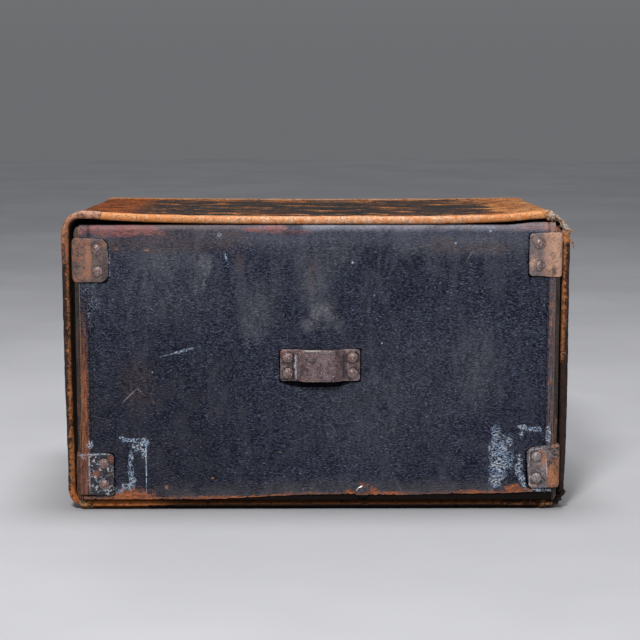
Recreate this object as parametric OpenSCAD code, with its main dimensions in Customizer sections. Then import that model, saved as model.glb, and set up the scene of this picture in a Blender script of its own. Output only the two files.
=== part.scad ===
// Leather slip case for a camera: a rigid outer sleeve, open at the front, and a lined tray that
// pulls out of it by a riveted leather strap. Millimetres, +Z up, front towards -Y, resting on z = 0.

/* [Sleeve] */
// Width over the rim binding
case_w = 508; // [420:1:620]
// Height over the rim binding
case_h = 304; // [240:1:380]
// Depth from the front rim to the back
case_d = 280; // [200:1:360]
// Outside radius of the sleeve's long corners
corner_r = 22; // [18:1:28]
// Radius of the lined inside corners
inner_corner_r = 10; // [7:0.5:12]
// Thickness of the top and side boards
sleeve_board_t = 4; // [3:0.5:6]
// Thickness of the base board
base_board_t = 6; // [4:0.5:9]
// Thickness of the sleeve's back board
back_board_t = 4; // [3:0.5:6]
// Thickness of the sleeve's outside leather
wrap_t = 1.5; // [1:0.1:2.5]
// Thickness of the sleeve's lining cloth
lining_t = 0.8; // [0.5:0.1:1.5]
// Width of the seam where the wrap's ends meet under the base
wrap_seam = 0.6; // [0.4:0.1:1.5]

/* [Rim binding] */
// Thickness of the binding's flaps
binding_t = 1; // [0.8:0.1:1.6]
// Thickness of the binding over the edge of the wall
binding_nose = 2; // [1.2:0.1:3]
// How far the binding laps over the outside leather
binding_lap = 13; // [8:0.5:20]
// How far the front binding laps onto the lining
binding_inner_lap = 10; // [6:0.5:16]
// Radius of the binding's outer edge
binding_round = 3; // [1.5:0.5:3.5]
// Length of the top left corner patch along the top
patch_leg_x = 40; // [32:1:60]
// Length of the top left corner patch down the side
patch_leg_z = 53; // [32:1:80]
// Length of the other corner pieces along both sides
corner_leg = 28; // [28:1:44]
// Gap where two pieces of binding meet
butt_gap = 0.4; // [0.2:0.1:1]

/* [Tray] */
// Average gap between the tray and each side of the sleeve
tray_side_gap = 4.2; // [4:0.1:6]
// How far the tray sits off centre to the right
tray_shift = 1.4; // [0:0.1:1.5]
// Gap between the tray and the sleeve's ceiling
tray_top_gap = 6.1; // [3:0.1:9]
// Running gap between the tray and the sleeve's floor
tray_floor_gap = 0.3; // [0.3:0.1:0.8]
// Gap behind the closed tray
tray_back_gap = 1.5; // [0.5:0.1:4]
// How far the closed tray stands proud of the rim
tray_proud = 5; // [3:0.5:8]
// Thickness of the tray's leather
tray_skin_t = 1.2; // [0.8:0.1:2]
// Thickness of the front board
front_board_t = 6; // [5:0.5:9]
// Thickness of the side boards
side_board_t = 3; // [2.5:0.5:5]
// Thickness of the tray's back board
tray_back_t = 4; // [3:0.5:6]
// Thickness of the tray's bottom board
tray_bottom_t = 5; // [3:0.5:8]
// Thickness of the baize that lines the tray
baize_t = 1; // [0.6:0.1:2]
// Radius of the front panel's top edge
panel_edge_r = 6; // [3:0.5:7]
// Groove between the front leather and the side walls
panel_groove = 0.6; // [0.3:0.1:1.5]
// Height of the front leather's lower edge above the tray's base
leather_hem = 2; // [1:0.5:6]
// How far each side leather turns under the base past the corner
under_lap = 2; // [1:0.5:10]

/* [Stitching] */
// Distance from the left side of the tray to the left seam
seam_left = 15; // [12:0.5:20]
// Distance from the right side of the tray to the right seam
seam_right = 11.5; // [10:0.5:20]
// Distance from stitch to stitch
stitch_pitch = 6.5; // [5:0.5:10]
// Length of one stitch
stitch_l = 4.4; // [3:0.1:4.8]
// Thickness of the thread
thread_d = 0.9; // [0.6:0.1:1.4]
// Distance from the first and last stitch to the panel's ends
seam_end = 10; // [6:1:20]

/* [Corner brackets] */
// Height of each bracket
bracket_h = 43.5; // [36:0.5:56]
// Thickness of the bracket's sheet
bracket_t = 1.5; // [1:0.1:1.8]
// Length of the leg along the side of the tray
bracket_side_leg = 35; // [28:0.5:50]
// Radius of the bracket's free corners
bracket_r = 5; // [2:0.5:8]
// Length of the top left bracket's leg on the front
leg_top_left = 34.5; // [30:0.5:50]
// Length of the top right bracket's leg on the front
leg_top_right = 32.5; // [30:0.5:50]
// Length of the bottom left bracket's leg on the front
leg_bottom_left = 40; // [30:0.5:50]
// Length of the bottom right bracket's leg on the front
leg_bottom_right = 34; // [30:0.5:50]
// Distance of the top left bracket from the tray's top
drop_top_left = 13; // [9:0.5:30]
// Distance of the top right bracket from the tray's top
drop_top_right = 7.5; // [7:0.5:30]
// Distance of the bottom left bracket from the tray's base
rise_bottom_left = 7; // [4:0.5:30]
// Distance of the bottom right bracket from the tray's base
rise_bottom_right = 13.5; // [4:0.5:30]

/* [Rivets] */
// Radius of a rivet's shank
shank_r = 1.6; // [1.2:0.1:2]
// Clearance round a shank
shank_gap = 0.1; // [0.05:0.05:0.2]
// Radius of a domed rivet head
head_r = 4.2; // [3.4:0.1:5]
// Height of a domed rivet head
head_h = 1.7; // [1:0.1:2.4]
// Radius of the flat heads on the sides of the tray
flat_head_r = 3.8; // [3:0.1:5]
// Height of the flat heads on the sides of the tray
flat_head_h = 0.5; // [0.3:0.1:0.5]
// Distance between the two rivets of a bracket leg
rivet_spacing = 22; // [16:0.5:26]
// Distance from a bracket's free edge to its rivets
rivet_inset = 10; // [8:0.5:14]
// Radius of the washer under a rivet's closed end
washer_r = 3.6; // [3:0.1:4.5]
// Thickness of that washer
washer_t = 0.6; // [0.4:0.1:0.8]
// Depth of the recess in the board round that washer
recess_d = 1.3; // [1.3:0.1:1.6]
// Clearance round a washer in its recess
recess_gap = 0.4; // [0.2:0.1:0.8]
// Radius of a rivet's closed end
tail_r = 2.4; // [2:0.1:3]
// Height of a rivet's closed end
tail_h = 0.5; // [0.3:0.1:0.5]

/* [Pull strap] */
// Length of the strap across the panel
strap_w = 80; // [70:1:120]
// Height of the strap
strap_h = 32; // [26:1:44]
// Thickness of the strap
strap_t = 3; // [2:0.5:5]
// Gap behind the bowed middle of the strap
strap_gap = 8; // [6:0.5:16]
// Length of each flat end
strap_flat = 15; // [13:0.5:17]
// Length of each sloping stretch
strap_ramp = 11; // [8:0.5:14]
// Radius of the strap's corners
strap_r = 3; // [1:0.5:6]
// Distance of the strap's middle from the tray's middle, to the right
strap_shift = 2.5; // [0:0.5:10]
// Distance between the rivets across the strap's end
strap_rivet_spacing = 16; // [12:0.5:18]
// Distance from the strap's end to its rivets
strap_rivet_inset = 7.5; // [6:0.5:8]

/* [Edge stud] */
// Radius of the stud's cap
stud_r = 7; // [5:0.5:9]
// Height of the stud's cap
stud_h = 2; // [1.5:0.1:3]
// Radius of the stud's pin
stud_pin_r = 1; // [0.8:0.1:1.4]
// Length of the stud's pin
stud_pin_l = 5; // [3:0.5:6]
// Distance of the stud from the tray's middle, to the right
stud_shift = 45.7; // [20:0.1:80]
// Height of the stud's centre above the tray's base
stud_rise = 9.5; // [9:0.5:16]

/* [Compartments] */
// Width of the camera's compartment
camera_bay_w = 312; // [200:1:340]
// Depth of the lens compartment at the front
lens_bay_d = 124; // [70:1:150]
// Thickness of the long divider
divider_t = 6; // [4:0.5:9]
// Thickness of the short divider
short_divider_t = 5; // [3:0.5:8]
// Height of both dividers
divider_h = 205; // [100:1:208]
// Width of the cleats that hold the dividers
cleat_w = 8; // [5:0.5:12]
// Clearance between the dividers and what they slide in
divider_gap = 0.3; // [0.2:0.1:0.6]
// Width of the two padded rests under the camera
rest_w = 34; // [20:1:60]
// Height of the padded rests
rest_h = 18; // [10:1:30]
// Distance of the padded rests from the compartment's walls
rest_margin = 14; // [13:1:30]
// Radius of the padded rests' upright corners
rest_r = 6; // [3:0.5:9]

/* [Hidden] */

$fn = 64;
through = 1;       // how far a cutting solid runs past the face it cuts
far = 1000;        // longer than the case in any direction
strap_steps = 40;  // stretches along the strap's curve

board_inset = binding_t + wrap_t;
wall_t = board_inset + sleeve_board_t + lining_t;
floor_z = board_inset + base_board_t + lining_t;
ceiling_z = case_h - wall_t;
inner_w = case_w - 2 * wall_t;

// The strap reaches furthest forward, and the whole is centred on y = 0.
front_reach = tray_proud + strap_gap + strap_t;
rim_y = front_reach - (case_d + front_reach) / 2;
back_y = rim_y + case_d;
wrap_y0 = rim_y + binding_nose;
wrap_y1 = back_y - binding_t;
back_board_y1 = wrap_y1 - wrap_t;
back_board_y0 = back_board_y1 - back_board_t;
inner_back_y = back_board_y0 - lining_t;

// Outside and inside limits of the tray
tray_x0 = -inner_w / 2 + tray_side_gap + tray_shift;
tray_x1 = inner_w / 2 - tray_side_gap + tray_shift;
tray_z0 = floor_z + tray_floor_gap;
tray_z1 = ceiling_z - tray_top_gap;
tray_y0 = rim_y - tray_proud;
tray_y1 = inner_back_y - tray_back_gap;
// Rounded enough to clear the sleeve's inside corner on the narrower side
tray_corner_r = inner_corner_r - (tray_side_gap - tray_shift) + tray_floor_gap;

side_wall_t = tray_skin_t + side_board_t;
in_x0 = tray_x0 + side_wall_t;
in_x1 = tray_x1 - side_wall_t;
in_y0 = tray_y0 + tray_skin_t + front_board_t;
in_y1 = tray_y1 - tray_skin_t - tray_back_t;
in_z0 = tray_z0 + tray_skin_t + tray_bottom_t;
rim_z = tray_z1 - tray_skin_t;

bay_x0 = in_x0 + baize_t;
bay_x1 = in_x1 - baize_t;
bay_y0 = in_y0 + baize_t;
bay_y1 = in_y1 - baize_t;
bay_z0 = in_z0 + baize_t;
divider_x0 = bay_x0 + camera_bay_w;
divider_x1 = divider_x0 + divider_t;
short_y0 = bay_y0 + lens_bay_d;
short_y1 = short_y0 + short_divider_t;

tray_mid_x = (tray_x0 + tray_x1) / 2;
tray_mid_z = (tray_z0 + tray_z1) / 2;
strap_x = tray_mid_x + strap_shift;
strap_rivet_x = strap_w / 2 - strap_rivet_inset;
hole_r = shank_r + shank_gap;
recess_r = washer_r + recess_gap;
face_grip = bracket_t + tray_skin_t + front_board_t - recess_d;
side_grip = bracket_t + tray_skin_t + side_board_t - recess_d;
strap_grip = strap_t + tray_skin_t + front_board_t - recess_d;

// Each bracket: its side, -1 left or 1 right, its leg on the front, and the height of its middle
function below_top(drop) = tray_z1 - drop - bracket_h / 2;
function above_base(rise) = tray_z0 + rise + bracket_h / 2;
TOP_LEFT = [-1, leg_top_left, below_top(drop_top_left)];
TOP_RIGHT = [1, leg_top_right, below_top(drop_top_right)];
BOTTOM_LEFT = [-1, leg_bottom_left, above_base(rise_bottom_left)];
BOTTOM_RIGHT = [1, leg_bottom_right, above_base(rise_bottom_right)];
BRACKETS = [TOP_LEFT, TOP_RIGHT, BOTTOM_LEFT, BOTTOM_RIGHT];

// Colours as the photo shows them
BOARD = "#b08a5a";
TOP_LEATHER = "#5a3d2c";
TAN = "#c68a55";
PATCH = "#a9795f";
CANVAS = "#b7a58c";
PANEL = "#2b2d38";
SIDE_LEATHER = "#4a3a34";
CLOTH = "#6b4a3a";
BAIZE = "#5c2f33";
IRON = "#6b5048";
STEEL = "#81706f";
STRAP = "#6a5a58";

// Shapes that repeat

// A profile drawn in x and z, run from y0 to y1
module along_y(y0, y1) {
    translate([0, y1, 0]) rotate([90, 0, 0]) linear_extrude(y1 - y0) children();
}

// A profile drawn in y and z, run from x0 to x1
module along_x(x0, x1) {
    translate([x0, 0, 0]) rotate([90, 0, 90]) linear_extrude(x1 - x0) children();
}

// A box between two corners
module block(low, high) {
    translate(low) cube(high - low);
}

// A flat rectangle between two corners, with round corners
module round_rect(low, high, r) {
    translate([low.x + r, low.y]) square([high.x - low.x - 2 * r, high.y - low.y]);
    translate([low.x, low.y + r]) square([high.x - low.x, high.y - low.y - 2 * r]);
    for (x = [low.x + r, high.x - r], z = [low.y + r, high.y - r]) translate([x, z]) circle(r);
}

// The sleeve's outline, set in from the outside of the binding
module sleeve_outline(inset) {
    round_rect([inset - case_w / 2, inset], [case_w / 2 - inset, case_h - inset], corner_r - inset);
}

// The sleeve's clear opening, grown outwards
module opening_outline(grow) {
    round_rect([-inner_w / 2 - grow, floor_z - grow], [inner_w / 2 + grow, ceiling_z + grow],
               inner_corner_r + grow);
}

// The tray's outline, set in from the outside of its leather
module tray_outline(inset) {
    round_rect([tray_x0 + inset, tray_z0 + inset], [tray_x1 - inset, tray_z1 - inset],
               tray_corner_r - inset);
}

// What lies within the tray's leather
module inside_tray_skin() {
    intersection() {
        children();
        along_y(tray_y0 - through, tray_y1 + through) tray_outline(tray_skin_t);
    }
}

// The sleeve's outside with its front edge rounded, of depth d
module soft_edged_prism(d) {
    e = binding_round;
    along_y(e, d) sleeve_outline(0);
    along_y(0, d) sleeve_outline(e);
    for (z = [e, case_h - e])
        translate([corner_r - case_w / 2, e, z]) rotate([0, 90, 0])
            cylinder(r = e, h = case_w - 2 * corner_r);
    for (x = [e - case_w / 2, case_w / 2 - e])
        translate([x, e, corner_r]) cylinder(r = e, h = case_h - 2 * corner_r);
    for (x = [corner_r - case_w / 2, case_w / 2 - corner_r], z = [corner_r, case_h - corner_r])
        translate([x, e, z]) rotate([90, 0, 0])
            rotate_extrude() translate([corner_r - e, 0]) circle(e);
}

// The whole front binding: a channel of leather folded over the edge of the wall
module front_ring() {
    difference() {
        translate([0, rim_y, 0]) soft_edged_prism(binding_lap);
        along_y(rim_y - through, rim_y + binding_lap + through) opening_outline(0);
        difference() {
            along_y(wrap_y0, rim_y + binding_lap + through) sleeve_outline(binding_t);
            along_y(wrap_y0 - through, rim_y + binding_inner_lap) opening_outline(lining_t);
        }
    }
}

// Takes the part of the front binding that lies in a box in x and z
module front_piece(low, high) {
    intersection() {
        front_ring();
        block([low.x, rim_y - through, low.y], [high.x, rim_y + binding_lap + through, high.y]);
    }
}

// The whole back binding: an angle of leather over the back's edge
module back_ring() {
    difference() {
        translate([0, back_y, 0]) mirror([0, 1, 0]) soft_edged_prism(binding_lap);
        along_y(back_y - binding_lap - through, wrap_y1) sleeve_outline(binding_t);
        along_y(wrap_y1 - through, back_y + through) sleeve_outline(binding_lap);
    }
}

// A spherical cap on z = 0
module dome(r, h) {
    ball_r = (r * r + h * h) / (2 * h);
    intersection() {
        translate([0, 0, h - ball_r]) sphere(ball_r);
        cylinder(r = r + through, h = h + through);
    }
}

// A rivet along +Y with its head's underside on y = 0
module rivet(grip, domed = true) {
    end = grip + washer_t;
    rotate([90, 0, 0]) {
        if (domed) dome(head_r, head_h);
        else cylinder(r = flat_head_r, h = flat_head_h);
        translate([0, 0, -end]) cylinder(r = shank_r, h = end);
        translate([0, 0, -end]) mirror([0, 0, 1]) dome(tail_r, tail_h);
    }
}

// The washer on the closed end of such a rivet
module washer(grip) {
    translate([0, grip, 0]) rotate([-90, 0, 0]) difference() {
        cylinder(r = washer_r, h = washer_t);
        translate([0, 0, -through]) cylinder(r = hole_r, h = washer_t + 2 * through);
    }
}

// A hole for such a rivet, and the recess for its washer from the end of its grip
module rivet_hole(grip) {
    translate([0, -strap_t, 0]) rotate([-90, 0, 0]) cylinder(r = hole_r, h = grip + 2 * strap_t);
    translate([0, grip, 0]) rotate([-90, 0, 0]) cylinder(r = recess_r, h = recess_d + through);
}

// Puts its children at a bracket, with x inwards from the tray's side and y to the back
module at_bracket(b) {
    translate([b[0] < 0 ? tray_x0 : tray_x1, tray_y0, b[2]])
        mirror([b[0] < 0 ? 0 : 1, 0, 0]) children();
}

// Puts its children at a bracket's two front rivets
module at_front_rivets(b) {
    at_bracket(b)
        for (z = [-rivet_spacing / 2, rivet_spacing / 2])
            translate([b[1] - bracket_t - rivet_inset, -bracket_t, z]) children();
}

// Puts its children at a bracket's two side rivets, with +Y turned into the tray
module at_side_rivets(b) {
    at_bracket(b)
        for (z = [-rivet_spacing / 2, rivet_spacing / 2])
            translate([-bracket_t, bracket_side_leg - rivet_inset, z]) rotate([0, 0, -90]) children();
}

// Puts its children at the strap's four rivets
module at_strap_rivets() {
    for (x = [-strap_rivet_x, strap_rivet_x], z = [-strap_rivet_spacing / 2, strap_rivet_spacing / 2])
        translate([strap_x + x, tray_y0 - strap_t, tray_mid_z + z]) children();
}

// Every hole that the front board and its leather have
module front_holes() {
    for (b = BRACKETS) at_front_rivets(b) rivet_hole(face_grip);
    at_strap_rivets() rivet_hole(strap_grip);
    at_stud() rotate([-90, 0, 0]) translate([0, 0, -through])
        cylinder(r = stud_pin_r + shank_gap, h = stud_pin_l + tail_h + through);
}

// The sleeve

module sleeve_top_board() color(BOARD)
    block([corner_r - case_w / 2, wrap_y0, case_h - board_inset - sleeve_board_t],
          [case_w / 2 - corner_r, back_board_y0, case_h - board_inset]);

module sleeve_base_board() color(BOARD)
    block([corner_r - case_w / 2, wrap_y0, board_inset],
          [case_w / 2 - corner_r, back_board_y0, board_inset + base_board_t]);

// A side board at the left, between the corner posts
module side_board() color(BOARD)
    block([board_inset - case_w / 2, wrap_y0, corner_r],
          [board_inset + sleeve_board_t - case_w / 2, back_board_y0, case_h - corner_r]);

module sleeve_left_board() side_board();

module sleeve_right_board() mirror([1, 0, 0]) side_board();

module sleeve_back_board() color(BOARD)
    along_y(back_board_y0, back_board_y1) sleeve_outline(board_inset);

module sleeve_corner_posts() color(BOARD) difference() {
    along_y(wrap_y0, back_board_y0) sleeve_outline(board_inset);
    along_y(wrap_y0 - through, back_board_y0 + through) opening_outline(lining_t);
    block([corner_r - case_w / 2, wrap_y0 - through, -through],
          [case_w / 2 - corner_r, back_board_y0 + through, case_h + through]);
    block([-far, wrap_y0 - through, corner_r],
          [far, back_board_y0 + through, case_h - corner_r]);
}

module sleeve_wrap_leather() color(TOP_LEATHER) difference() {
    along_y(wrap_y0, wrap_y1) sleeve_outline(binding_t);
    along_y(wrap_y0 - through, wrap_y1 + through) sleeve_outline(board_inset);
    block([-wrap_seam / 2, wrap_y0 - through, -through], [wrap_seam / 2, wrap_y1 + through, floor_z]);
}

module sleeve_back_leather() color(TOP_LEATHER)
    along_y(back_board_y1, wrap_y1) sleeve_outline(board_inset);

module sleeve_lining() color(CLOTH) difference() {
    along_y(rim_y + binding_inner_lap, inner_back_y) opening_outline(lining_t);
    along_y(rim_y, inner_back_y + through) opening_outline(0);
}

module sleeve_back_lining() color(CLOTH)
    along_y(inner_back_y, back_board_y0) opening_outline(lining_t);

// The rim binding, in straight lengths that butt against the corner pieces

module rim_binding_top() color(TAN)
    front_piece([patch_leg_x - case_w / 2, case_h / 2], [case_w / 2 - corner_leg, case_h + through]);

module rim_binding_bottom() color(TAN)
    front_piece([corner_leg - case_w / 2, -through], [case_w / 2 - corner_leg, case_h / 2]);

module rim_binding_left() color(TAN)
    front_piece([-far, corner_leg], [0, case_h - patch_leg_z]);

module rim_binding_right() color(TAN)
    front_piece([0, corner_leg], [far, case_h - corner_leg]);

module rim_patch_top_left() color(PATCH)
    front_piece([-far, case_h - patch_leg_z + butt_gap],
                [patch_leg_x - butt_gap - case_w / 2, far]);

module rim_corner_top_right() color(CANVAS)
    front_piece([case_w / 2 - corner_leg + butt_gap, case_h - corner_leg + butt_gap],
                [far, far]);

module rim_corner_bottom_left() color(TAN)
    front_piece([-far, -through], [corner_leg - butt_gap - case_w / 2, corner_leg - butt_gap]);

module rim_corner_bottom_right() color(SIDE_LEATHER)
    front_piece([case_w / 2 - corner_leg + butt_gap, -through], [far, corner_leg - butt_gap]);

// Eight pieces: four straight lengths and four corners
module back_binding() color(TAN) difference() {
    back_ring();
    for (x = [corner_leg - case_w / 2, case_w / 2 - corner_leg])
        block([x - butt_gap / 2, -far, -far], [x + butt_gap / 2, far, far]);
    for (z = [corner_leg, case_h - corner_leg])
        block([-far, -far, z - butt_gap / 2], [far, far, z + butt_gap / 2]);
}

// The tray's boards and leather

module tray_front_board() color(BOARD) difference() {
    inside_tray_skin() along_x(in_x0, in_x1) front_section(tray_skin_t, tray_z0, in_y0);
    front_holes();
}

// The front panel's section in y and z, set in from its outside, with a rounded top edge
module front_section(inset, z0, y1) {
    r = panel_edge_r - inset;
    y0 = tray_y0 + inset;
    z1 = tray_z1 - inset;
    translate([y0, z0]) square([y1 - y0, z1 - r - z0]);
    translate([y0 + r, z0]) square([y1 - y0 - r, z1 - z0]);
    intersection() {
        translate([y0 + r, z1 - r]) circle(r);
        translate([y0, z1 - r]) square(r);
    }
}

// The left side's board, from behind the turned front edge of its leather
module tray_side() color(BOARD) inside_tray_skin()
    block([tray_x0, tray_y0 + tray_skin_t, tray_z0], [in_x0, tray_y1 - tray_skin_t, tray_z1]);

module tray_left_board() color(BOARD) difference() {
    tray_side();
    at_side_rivets(TOP_LEFT) rivet_hole(side_grip);
    at_side_rivets(BOTTOM_LEFT) rivet_hole(side_grip);
}

module tray_right_board() color(BOARD) difference() {
    flip_tray() tray_side();
    at_side_rivets(TOP_RIGHT) rivet_hole(side_grip);
    at_side_rivets(BOTTOM_RIGHT) rivet_hole(side_grip);
}

// Mirrors what belongs to the tray's left side to its right
module flip_tray() {
    translate([2 * tray_mid_x, 0, 0]) mirror([1, 0, 0]) children();
}

module tray_back_board() color(BOARD) inside_tray_skin()
    block([in_x0, in_y1, tray_z0], [in_x1, tray_y1 - tray_skin_t, tray_z1]);

module tray_bottom_board() color(BOARD) inside_tray_skin()
    block([in_x0, in_y0, tray_z0], [in_x1, in_y1, in_z0]);

// The front leather, turned back over the top of the front board and its baize
module tray_front_leather() color(PANEL) difference() {
    intersection() {
        along_x(in_x0 + panel_groove, in_x1 - panel_groove)
            front_section(0, tray_z0 + leather_hem, bay_y0);
        along_y(tray_y0 - through, bay_y0 + through) tray_outline(0);
    }
    along_x(in_x0, in_x1) front_section(tray_skin_t, tray_z0, bay_y0 + through);
    front_holes();
}

// The left side's leather: over the side, turned in at the front, under the base and over the top
module side_leather() color(SIDE_LEATHER) intersection() {
    difference() {
        along_y(tray_y0, tray_y1 - tray_skin_t) tray_outline(0);
        along_y(tray_y0 + tray_skin_t, tray_y1) tray_outline(tray_skin_t);
    }
    union() {
        block([tray_x0, tray_y0, tray_z0], [in_x0, tray_y1, tray_mid_z]);
        block([in_x0, in_y0, tray_z0], [tray_x0 + tray_corner_r + under_lap, tray_y1, tray_mid_z]);
        block([tray_x0, tray_y0, tray_mid_z], [in_x0, tray_y1, tray_z1]);
        block([in_x0, bay_y0, tray_mid_z], [bay_x0, bay_y1, tray_z1]);
    }
}

module tray_left_leather() difference() {
    side_leather();
    at_side_rivets(TOP_LEFT) rivet_hole(side_grip);
    at_side_rivets(BOTTOM_LEFT) rivet_hole(side_grip);
}

module tray_right_leather() difference() {
    flip_tray() side_leather();
    at_side_rivets(TOP_RIGHT) rivet_hole(side_grip);
    at_side_rivets(BOTTOM_RIGHT) rivet_hole(side_grip);
}

// The back leather, turned over the top of the back board and its baize
module tray_back_leather() color(SIDE_LEATHER) {
    along_y(tray_y1 - tray_skin_t, tray_y1) tray_outline(0);
    intersection() {
        block([in_x0, bay_y1, rim_z], [in_x1, tray_y1 - tray_skin_t, tray_z1]);
        along_y(bay_y1, tray_y1) tray_outline(0);
    }
}

module tray_base_leather() color(SIDE_LEATHER)
    block([tray_x0 + tray_corner_r + under_lap, in_y0, tray_z0],
          [tray_x1 - tray_corner_r - under_lap, tray_y1 - tray_skin_t, tray_z0 + tray_skin_t]);

module tray_lining() color(BAIZE) difference() {
    inside_tray_skin() block([in_x0, in_y0, in_z0], [in_x1, in_y1, rim_z]);
    block([bay_x0, bay_y0, bay_z0], [bay_x1, bay_y1, tray_z1]);
}

// One seam of stitches up the panel, left out where a bracket covers it
module seam(x, brackets) {
    z0 = tray_z0 + seam_end;
    count = floor((tray_z1 - tray_z0 - 2 * seam_end) / stitch_pitch);
    for (i = [0 : count]) {
        z = z0 + i * stitch_pitch;
        covered = [for (b = brackets) if (abs(z - b[2]) < (bracket_h + stitch_l) / 2 + through) b];
        if (len(covered) == 0)
            translate([x - thread_d / 2, tray_y0 - thread_d / 2, z - stitch_l / 2])
                cube([thread_d, thread_d / 2, stitch_l]);
    }
}

module front_stitching() color(CANVAS) {
    seam(tray_x0 + seam_left, [TOP_LEFT, BOTTOM_LEFT]);
    seam(tray_x1 - seam_right, [TOP_RIGHT, BOTTOM_RIGHT]);
}

// The corner brackets

// A flat leg in x and z with its two free corners rounded
module leg_outline(leg) {
    r = bracket_r;
    translate([0, -bracket_h / 2]) square([leg - r, bracket_h]);
    translate([0, r - bracket_h / 2]) square([leg, bracket_h - 2 * r]);
    for (z = [r - bracket_h / 2, bracket_h / 2 - r]) translate([leg - r, z]) circle(r);
}

// Sheet folded round the tray's front edge
module bracket(b) color(IRON) difference() {
    at_bracket(b) {
        along_y(-bracket_t, 0) leg_outline(b[1] - bracket_t);
        along_x(-bracket_t, 0) leg_outline(bracket_side_leg);
        intersection() {
            translate([0, 0, -bracket_h / 2]) cylinder(r = bracket_t, h = bracket_h);
            block([-bracket_t, -bracket_t, -bracket_h / 2], [0, 0, bracket_h / 2]);
        }
    }
    at_front_rivets(b) rivet_hole(face_grip);
    at_side_rivets(b) rivet_hole(side_grip);
}

module bracket_top_left() bracket(TOP_LEFT);

module bracket_top_right() bracket(TOP_RIGHT);

module bracket_bottom_left() bracket(BOTTOM_LEFT);

module bracket_bottom_right() bracket(BOTTOM_RIGHT);

module bracket_rivets() color(STEEL)
    for (b = BRACKETS) at_front_rivets(b) rivet(face_grip);

module side_rivets() color(STEEL)
    for (b = BRACKETS) at_side_rivets(b) rivet(side_grip, false);

module rivet_washers() color(STEEL) {
    for (b = BRACKETS) {
        at_front_rivets(b) washer(face_grip);
        at_side_rivets(b) washer(side_grip);
    }
    at_strap_rivets() washer(strap_grip);
}

// The pull strap

// How far the strap stands off the panel at x, from 0 at its flat ends to the full gap
function strap_rise(x) =
    let (t = (strap_w / 2 - strap_flat - abs(x)) / strap_ramp)
    strap_gap * (1 - cos(180 * max(0, min(1, t)))) / 2;

module pull_strap() color(STRAP) {
    xs = [for (i = [0 : strap_steps]) (i / strap_steps - 0.5) * strap_w];
    outer = [for (x = xs) [x, -strap_rise(x) - strap_t]];
    inner = [for (i = [strap_steps : -1 : 0]) [xs[i], -strap_rise(xs[i])]];
    difference() {
        intersection() {
            translate([strap_x, tray_y0, tray_mid_z - strap_h / 2])
                linear_extrude(strap_h) polygon(concat(outer, inner));
            along_y(tray_y0 - front_reach, tray_y0 + through)
                round_rect([strap_x - strap_w / 2, tray_mid_z - strap_h / 2],
                           [strap_x + strap_w / 2, tray_mid_z + strap_h / 2], strap_r);
        }
        at_strap_rivets() rivet_hole(strap_grip);
    }
}

module strap_rivets() color(STEEL) at_strap_rivets() rivet(strap_grip);

// The stud at the panel's lower edge

module at_stud() {
    translate([tray_mid_x + stud_shift, tray_y0, tray_z0 + stud_rise]) children();
}

module edge_stud() color("silver") at_stud() rotate([90, 0, 0]) {
    dome(stud_r, stud_h);
    translate([0, 0, -stud_pin_l]) cylinder(r = stud_pin_r, h = stud_pin_l);
}

// What divides and pads the tray

module long_divider() color(BAIZE)
    block([divider_x0, bay_y0 + divider_gap, bay_z0],
          [divider_x1, bay_y1 - divider_gap, bay_z0 + divider_h]);

module short_divider() color(BAIZE)
    block([divider_x1 + divider_gap, short_y0, bay_z0],
          [bay_x1 - divider_gap, short_y1, bay_z0 + divider_h]);

// Two cleats in each place, one on either side of the divider's edge
module divider_cleats() color(BOARD) {
    for (x = [divider_x0 - divider_gap - cleat_w, divider_x1 + divider_gap],
         y = [bay_y0, bay_y1 - cleat_w])
        block([x, y, bay_z0], [x + cleat_w, y + cleat_w, bay_z0 + divider_h]);
    for (x = [divider_x1, bay_x1 - cleat_w],
         y = [short_y0 - divider_gap - cleat_w, short_y1 + divider_gap])
        block([x, y, bay_z0], [x + cleat_w, y + cleat_w, bay_z0 + divider_h]);
}

module camera_rests() color(CLOTH)
    for (x = [bay_x0 + rest_margin, divider_x0 - rest_margin - rest_w])
        translate([0, 0, bay_z0]) linear_extrude(rest_h)
            round_rect([x, bay_y0 + rest_margin], [x + rest_w, bay_y1 - rest_margin], rest_r);

sleeve_top_board();
sleeve_base_board();
sleeve_left_board();
sleeve_right_board();
sleeve_back_board();
sleeve_corner_posts();
sleeve_wrap_leather();
sleeve_back_leather();
sleeve_lining();
sleeve_back_lining();
rim_binding_top();
rim_binding_bottom();
rim_binding_left();
rim_binding_right();
rim_patch_top_left();
rim_corner_top_right();
rim_corner_bottom_left();
rim_corner_bottom_right();
back_binding();
tray_front_board();
tray_left_board();
tray_right_board();
tray_back_board();
tray_bottom_board();
tray_front_leather();
tray_left_leather();
tray_right_leather();
tray_back_leather();
tray_base_leather();
tray_lining();
front_stitching();
bracket_top_left();
bracket_top_right();
bracket_bottom_left();
bracket_bottom_right();
bracket_rivets();
side_rivets();
rivet_washers();
pull_strap();
strap_rivets();
edge_stud();
long_divider();
short_divider();
divider_cleats();
camera_rests();
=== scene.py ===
import math
import random

import bmesh
import bpy
import numpy as np
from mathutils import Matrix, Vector, noise


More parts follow.
